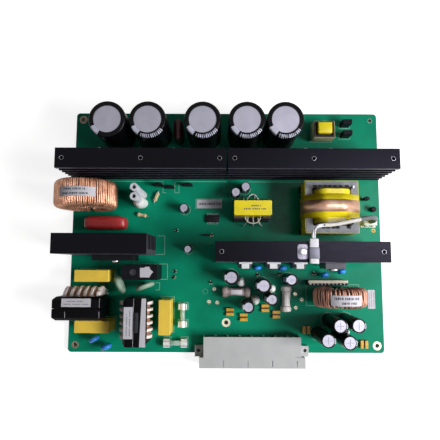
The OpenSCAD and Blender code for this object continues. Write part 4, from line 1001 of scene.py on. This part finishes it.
# Sleeved leads of the drive transformer: along X, away from the coil's face, above the board
DRIVE_FRONT = [
    [(-3.2, 0, 12), (-3.6, 2.6, 11.6), (-4.8, 5, 9), (-6.4, 6.4, 5), (-7.2, 6.8, 2), (-7.2, 6.8, 0)],
    [(1, 0, 12), (1.2, 2.8, 11.4), (1.6, 5.4, 8), (1.9, 6.4, 4), (2, 6.6, 2), (2, 6.6, 0)],
    [(5.2, 0, 12), (5.6, 2.6, 11.6), (6.6, 5, 9), (8, 6.2, 5), (8.6, 6.5, 2), (8.6, 6.5, 0)],
    [(-5.6, 0, 14.6), (-5.2, 2.6, 14.5), (-3, 4.8, 14.2), (0.6, 5.8, 14), (4.2, 5, 14.2), (6.6, 2.8, 14.5),
     (7.2, 0, 14.6)]]
DRIVE_REAR = [
    [(-6.4, 0, 11), (-6.6, 2.8, 10.6), (-7, 5.2, 8), (-7.2, 6.4, 4), (-7.2, 6.6, 2), (-7.2, 6.6, 0)],
    [(2.4, 0, 11), (2.6, 3, 10.4), (3, 5.4, 8), (3.2, 6.4, 4), (3.2, 6.6, 2), (3.2, 6.6, 0)],
    [(-4, 0, 14), (-3.6, 3, 13.8), (-1.6, 5.6, 13.4), (1, 6.8, 13.2), (3.4, 5.4, 13.4), (5, 2.8, 13.8),
     (5.4, 0, 14)]]


def drive_leads():
    bm = bmesh.new()
    lo, hi, c, size = whole("drive_transformer_coil")
    for routes, face_y, away in ((DRIVE_FRONT, lo.y, -1), (DRIVE_REAR, hi.y, 1)):
        for route in routes:
            points = [(c.x + x, face_y + away * (out + 0.05), BOARD_TOP + z) for x, out, z in route]
            put(bm, sweep(smooth_line(points, 5), 0.5, 10))
    piece("drive_leads", bm, SLEEVING, "drive_transformer_leads", sharp=60)


drive_leads()


# Tape round the outer walls of the cores, from a margin above the foot to one below the top
def core_tape(name, node, foot, top, thick, corner, material):
    lo, hi, c, size = whole(node)
    z0, z1 = lo.z + foot, hi.z - top
    outer = round_rect(size.x + 2 * thick, size.y + 2 * thick, corner)
    inner = round_rect(size.x, size.y, corner - thick / 2)
    walls = ((outer, z0), (outer, z1), (inner, z1), (inner, z0))
    rows = [[(c.x + x, c.y + y, z) for x, y in shape] for shape, z in walls]
    piece(name, skin(rows, caps=False, looped=True), material)


core_tape("main_core_tape", "main_transformer_core", 1.5, 0.3, 0.3, 0.6, TAPE)
core_tape("aux_core_tape", "aux_transformer_core", 0.4, 0.9, 0.4, 0.8, TAPE_OLIVE)


# Row of bobbin teeth over the rear and front walls of the main core, and a spot of glue on the core
TOOTH, CORE_WALL = (2.7, 2.6, 0.9), 6.0
REAR_TEETH_X = [-13.4, -9.2, -5.0, -1.2, 2.8, 7.4, 12.6]
FRONT_TEETH_X = [-7.4, -3.4, 0.8, 4.2, 13.4]


def main_teeth():
    bm = bmesh.new()
    lo, hi, c, size = whole("main_transformer_core")
    for y, places in ((hi.y - CORE_WALL, REAR_TEETH_X), (lo.y + CORE_WALL - TOOTH[1], FRONT_TEETH_X)):
        for x in places:
            put(bm, block((c.x + x - TOOTH[0] / 2, y, hi.z - 0.05),
                          (c.x + x + TOOTH[0] / 2, y + TOOTH[1], hi.z + TOOTH[2])))
    piece("bobbin_teeth", bm, BOBBIN_BLACK)
    dome = lathe([(0, 0), (1.3, 0), (1.25, 0.3), (0.9, 0.62), (0.4, 0.78), (0, 0.8)], steps=24)
    piece("glue_spot", placed(dome, at(c.x + 17.4, c.y + 16.6, hi.z)), SILICONE)


main_teeth()


# Bright countersinks round the flange holes of the heatsinks
def flange_rims():
    bm = bmesh.new()
    end_inset, hole_r = 5.25, 1.5
    rim = [(hole_r, -0.3), (hole_r + 0.2, 0.0), (hole_r + 0.2, 0.05), (hole_r + 0.1, 0.06),
           (hole_r - 0.1, -0.24)]
    for node in ("left_heatsink", "right_heatsink", "output_heatsink"):
        lo, hi, c, size = whole(node)
        for spot in (-1, 1) if node == "output_heatsink" else (-1, 0, 1):
            put(bm, lathe(rim, steps=32), at(c.x + spot * (size.x / 2 - end_inset), c.y, hi.z))
    piece("flange_rims", bm, TIN)


flange_rims()


# Bare pads round the fixing holes, on both faces of the board
board_lo, board_hi = whole("circuit_board")[:2]
HOLE_INSET, MID_HOLE_INSET, HOLE_R, PAD_R = 6.0, 25.0, 1.7, 3.7
corner_x, corner_y = board_hi.x - HOLE_INSET, board_hi.y - HOLE_INSET
hole_places = [(sx * corner_x, sy * corner_y) for sx in (-1, 1) for sy in (-1, 1)]
hole_places.append((0, board_lo.y + MID_HOLE_INSET))


def ring_pad(inner, outer, up):
    low, high = up * 0.05, up * 0.07
    return lathe([(inner, 0), (outer, 0), (outer - 0.05, low), (inner + 0.15, high), (inner, low)], steps=40)


def hole_pads():
    bm = bmesh.new()
    for x, y in hole_places:
        reach, look = PAD_R, 1 if x < 0 else 0
        if x > 0 and y > 0:
            reach, look = HOLE_R + 0.45, 2
        elif x < -100 and y < 0:
            reach = PAD_R - 0.6
        put(bm, ring_pad(HOLE_R + 0.1, reach, 1), at(x, y, BOARD_TOP), mat=look)
        put(bm, ring_pad(HOLE_R + 0.1, PAD_R, -1), at(x, y, board_lo.z), mat=0)
    piece("hole_pads", bm, [PAD, PAD_DULL, PRINT])


# Empty solder pads among the filter parts, and a bare test pad by the right edge
EMPTY_PADS = [(-10.2, -51.5), (-14.7, -62.4), (-7.7, -63.1), (59.7, -55.5), (65.3, -60.4), (60.0, -67.2)]
TEST_PAD = (129.1, -0.4)


def empty_pads():
    bm = bmesh.new()
    for x, y in EMPTY_PADS:
        put(bm, ring_pad(0.5, 1.5, 1), at(x, y, BOARD_TOP), mat=0)
    put(bm, ring_pad(0.7, 1.9, 1), at(*TEST_PAD, BOARD_TOP), mat=1)
    piece("empty_pads", bm, [PAD, CHIP_GOLD])


hole_pads()
empty_pads()


# Small surface-mounted parts, as (x, y, turn)
SURFACE_PARTS = [(-44.6, -36.4, 90), (-45.4, -41.4, 60), (-13.4, -45.8, 0), (-43.6, -0.8, 90),
                 (-12.6, -4.4, 0), (46.6, -37.8, 0), (27.2, -38.8, 20), (76.2, -37.6, 0)]
SURFACE_BODY = (2.9, 1.4, 1.1)


def surface_parts():
    bm = bmesh.new()
    w, d, h = (side / 2 for side in SURFACE_BODY)
    for x, y, spin in SURFACE_PARTS:
        place = at(x, y, BOARD_TOP, spin)
        put(bm, block((-w, -d, 0.1), (w, d, 2 * h), 0.2), place, mat=0)
        for u, side in ((-0.95, -1), (0.95, -1), (0, 1)):
            route = ((d * 0.9, h), (d + 0.35, h), (d + 0.5, 0.2), (d + 1.0, 0.2))
            put(bm, sweep([(u, side * out, z) for out, z in route], 0.24, 6), place, mat=1)
    piece("surface_parts", bm, [PACKAGE, PAD])


surface_parts()

# A painted highlight along the front top edge of the output heatsink
HIGHLIGHT_L = 92
lo, hi, c, size = whole("output_heatsink")
edge_highlight = block((lo.x + 1, lo.y - 0.03, hi.z - 0.3), (lo.x + HIGHLIGHT_L, lo.y + 0.3, hi.z + 0.03), 0.08)
piece("painted_edge_highlight", edge_highlight, PAINTED_SHEEN)


# Tracks on the underside, each from a solder joint to its nearest neighbours
TRACK_W, TRACK_T, TRACK_REACH = 1.5, 0.05, 32


def tracks():
    bm = bmesh.new()
    spots = [box[2] for box in solids("solder_joints")]
    done = set()
    for i, p in enumerate(spots):
        near = sorted((q for q in range(len(spots)) if q != i), key=lambda q: (spots[q] - p).length)[:2]
        for k in near:
            pair, gap = (min(i, k), max(i, k)), spots[k] - p
            if pair in done or gap.length > TRACK_REACH:
                continue
            done.add(pair)
            bar = block((-gap.length / 2, -TRACK_W / 2, -TRACK_T), (gap.length / 2, TRACK_W / 2, 0), 0)
            m = (p + spots[k]) / 2
            put(bm, bar, at(m.x, m.y, board_lo.z, degrees(atan2(gap.y, gap.x))))
    piece("tracks", bm, TRACK)


tracks()


# Printed outlines on the component side, as (x, y) runs in millimetres
PRINT_W, PRINT_T = 0.28, 0.035


def printed(runs):
    bm = bmesh.new()
    for run in runs:
        for (x0, y0), (x1, y1) in zip(run, run[1:]):
            length = hypot(x1 - x0, y1 - y0) + PRINT_W
            spin = degrees(atan2(y1 - y0, x1 - x0))
            bar = block((-length / 2, -PRINT_W / 2, 0), (length / 2, PRINT_W / 2, PRINT_T), 0)
            put(bm, bar, at((x0 + x1) / 2, (y0 + y1) / 2, BOARD_TOP, spin))
    piece("board_print", bm, PRINT)


def outline(lo, hi, side, end):
    x0, y0, x1, y1 = lo.x - side, lo.y - end, hi.x + side, hi.y + end
    return [(x0, y0), (x1, y0), (x1, y1), (x0, y1), (x0, y0)]


def circle(x, y, r):
    return arc(x, y, r, 0, 360, 28)


runs = [
    [(-60, -5.7), (-53.8, -5.7), (-53.8, -21.9), (-77.6, -21.9)],
    [(-81.3, -30.2), (-51, -30.2), (-51, -43.4), (-57, -43.4)],
    [(-57.6, -46.3), (-60.9, -46.3)], [(-57.6, -46.3), (-57.6, -52.5)], [(-57.6, -52.5), (-60.9, -52.5)],
    [(-102.6, 42.7), (-56.2, 42.7), (-56.2, 32.6), (-53.4, 32.6)], [(-45.7, 42.7), (-0.2, 42.7)],
    [(-45.7, 42.7), (-45.7, 32.6), (-42, 32.6), (-42, 40)], [(19.7, 42.6), (66.7, 42.6)],
    [(-27, 27.2), (-3, 27.2)], [(-27, 27.2), (-27, 18)],
]
for lo, hi, c, size in solids("small_capacitor_sleeves"):
    runs.append(circle(c.x, c.y, size.x / 2 + 0.9))
for node in ("fuse_clips", "box_capacitors", "box_modules", "aux_transformer_bobbin"):
    runs += [outline(lo, hi, 0.9, 0.9) for lo, hi, c, size in solids(node)]
runs.append(outline(*whole("output_choke_winding")[:2], 1.5, 1.6))
for x, y in EMPTY_PADS + [(-18, -53.6), (45, 24.6), (48.6, 10.4)]:
    runs.append(circle(x, y, 2.1))
printed(runs)

# The taped crown of the auxiliary coil
lo, hi, c, size = whole("aux_transformer_coil")
crown = block((lo.x - 0.2, lo.y - 0.2, hi.z - 1.0), (hi.x + 0.2, hi.y + 0.2, hi.z + 1.8), 1.1, 3)
piece("aux_coil_crown", crown, TAPE)


# Labels on the board, and dashes for print on them and on the drive transformer
FLAT_T = 0.12


def flat_label(name, x, y, w, d):
    piece(name, placed(slab(round_rect(w, d, 0.4, 3), 0, FLAT_T, 0.04, 1), at(x, y, BOARD_TOP)), LABEL)


flat_label("board_label", -15.0, 22.7, 22.4, 7.8)
dash_rows(lambda u: at(u, 22.7, BOARD_TOP + FLAT_T), [(0, -24.2, -6.0, 1.9)])
flat_label("edge_label", 125.4, -59.8, 6.0, 16.0)
dash_rows(lambda u: at(125.4, u, BOARD_TOP + FLAT_T, 90), [(v, -66.4, -53.6, 0.4) for v in (-1.9, 0, 1.9)])
lo, hi, c, size = whole("drive_transformer_coil")
dash_rows(lambda u: at(c.x + u, c.y, hi.z), [(1.6, -1.6, 7.0, 1.2), (-1.0, -7.4, 9.4, 1.2)])
piece("label_dashes", ink, INK)


# The relay's torn tag and vent
RELAY_TAG = [(-5.2, -4.2), (2.4, -4.4), (2.8, -3.2), (5.4, 0.2), (2.6, 2.6), (2.2, 4.4), (-1.2, 4.2),
             (-1.4, 3.6), (-5.4, 3.4)]


def relay_tag():
    lo, hi, c, size = whole("relay_case")
    tag = slab(RELAY_TAG, 0, PAPER_T, 0.04, 1)
    piece("relay_tag", placed(tag, at(c.x + 5.6, c.y + 0.2, hi.z)), LABEL)
    vent = lathe([(0, 0), (2.6, 0), (2.6, 0.14), (2.1, 0.14), (1.9, 0.04), (0, 0.04)], steps=36)
    piece("relay_vent", placed(vent, at(c.x - 5.4, c.y, hi.z)), CASE_WORN)


relay_tag()


# Plain pale dashes printed over the shoulder of the large capacitors, placed by angle
DASHES, DASH_FROM, DASH_STEP, DASH_WIDE = 12, 248, 6.6, 2.4


def shoulder(r, top, proud):
    curve = arc(r - LARGE_BEND, top - LARGE_BEND, LARGE_BEND + proud, 90, 0, 5)
    return [(r - 2.3, top + proud)] + curve + [(r + proud, top - LARGE_BEND - 1.6)]


def shoulder_dash(r, top, first, last):
    rows = []
    for outer, inner in zip(shoulder(r, top, 0.04), shoulder(r, top, -0.06)):
        corners = ((outer, first), (outer, last), (inner, last), (inner, first))
        rows.append([(d * cos(a), d * sin(a), z) for (d, z), a in corners])
    return skin(rows)


def lip_dashes():
    bm = bmesh.new()
    for lo, hi, c, size in solids("bulk_capacitor_sleeves")[1:]:
        for k in range(DASHES):
            first = DASH_FROM + DASH_STEP * k
            wide = DASH_WIDE + 0.6 * (k * 3 % 4)
            dash = shoulder_dash(size.x / 2, hi.z, radians(first), radians(first + wide))
            put(bm, dash, at(c.x, c.y))
    piece("lip_dashes", bm, STRIPE)


lip_dashes()


# Floor, world, lamps and camera
def math_node(tree, operation, *inputs):
    made = tree.nodes.new("ShaderNodeMath")
    made.operation = operation
    for i, given in enumerate(inputs):
        if isinstance(given, float):
            made.inputs[i].default_value = given
        else:
            tree.links.new(given, made.inputs[i])
    return made.outputs[0]


def glow(tree, target, socket, inside):
    rays = add_node(tree, "LightPath").outputs
    seen = math_node(tree, "MAXIMUM", rays["Is Camera Ray"], rays["Is Glossy Ray"])
    seen = math_node(tree, "MAXIMUM", seen, rays["Is Transmission Ray"])
    share = add_node(tree, "MapRange", {"To Min": inside[0], "To Max": inside[1]}, {"Value": seen})
    tree.links.new(share.outputs["Result"], target.inputs[socket])


# The floor's own glow stops under the board, where only real light falls
def shade_under_board(tree, strength):
    place = add_node(tree, "TexCoord").outputs["Object"]
    split = add_node(tree, "SeparateXYZ", links={"Vector": place})
    outside = []
    for axis, reach in (("X", board_hi.x), ("Y", board_hi.y)):
        far = math_node(tree, "ABSOLUTE", split.outputs[axis])
        outside.append(math_node(tree, "GREATER_THAN", far, reach * MM))
    either = math_node(tree, "MAXIMUM", *outside)
    tree.links.new(math_node(tree, "MULTIPLY", strength.links[0].from_socket, either), strength)


def make_floor():
    half_size, drop = 3.0, 0.0004
    bm = bmesh.new()
    bmesh.ops.create_grid(bm, x_segments=2, y_segments=2, size=half_size)
    floor = link("floor", to_mesh(bm, "floor"))
    floor.location.z = cad_box[0].z - drop
    made = bpy.data.materials.new("floor_white")
    made.use_nodes = True
    shader = made.node_tree.nodes["Principled BSDF"]
    set_inputs(shader, {"Base Color": (0.5, 0.5, 0.5, 1), "Roughness": 0.9, "Emission Color": (1, 1, 1, 1)})
    glow(made.node_tree, shader, "Emission Strength", (0.0, 0.84))
    shade_under_board(made.node_tree, shader.inputs["Emission Strength"])
    floor.data.materials.append(made)


def make_world():
    world = bpy.data.worlds.new("studio")
    world.use_nodes = True
    scene.world = world
    back = world.node_tree.nodes["Background"]
    back.inputs["Color"].default_value = (1, 1, 1, 1)
    glow(world.node_tree, back, "Strength", (0.05, 1.0))


def lamp(name, place, aim, size, power, colour):
    light = bpy.data.lights.new(name, "AREA")
    light.shape = "RECTANGLE"
    light.size, light.size_y = size
    light.energy = power
    light.color = colour
    obj = link(name, light)
    obj.location = place
    obj.rotation_euler = (Vector(aim) - Vector(place)).to_track_quat("-Z", "Y").to_euler()
    return obj


make_floor()
make_world()
lamp("key", (0.63, -0.19, 0.55), (0.0, 0.0, 0.02), (0.42, 0.25), 8.4, (1.0, 0.99, 0.97))
sheen = lamp("sheen", (0.36, 0.06, 0.56), (0.12, 0.02, 0.04), (0.14, 0.4), 3.0, (0.93, 0.9, 1.0))
sheen.visible_diffuse = False
lamp("fill", (-0.15, -0.45, 0.9), (0, 0, 0), (0.6, 0.6), 0.3, (0.93, 0.95, 1.0))

# Camera as fitted to the photo: place in metres, turns in degrees and lens in millimetres
CAMERA_AT, CAMERA_TURNS = (-0.005159, -0.029225, 0.367572), (5.887, 0.059, 0.209)
CAMERA_LENS, CAMERA_SENSOR = 34.198, 36
lens = bpy.data.cameras.new("camera")
lens.sensor_width = CAMERA_SENSOR
lens.lens = CAMERA_LENS
lens.clip_start, lens.clip_end = 0.01, 20
camera = link("camera", lens)
tilt, sway, roll = CAMERA_TURNS
turn = turned("X", tilt) @ turned("Y", sway) @ turned("Z", roll)
camera.matrix_world = Matrix.Translation(CAMERA_AT) @ turn
scene.camera = camera
scene.view_settings.view_transform = "Standard"
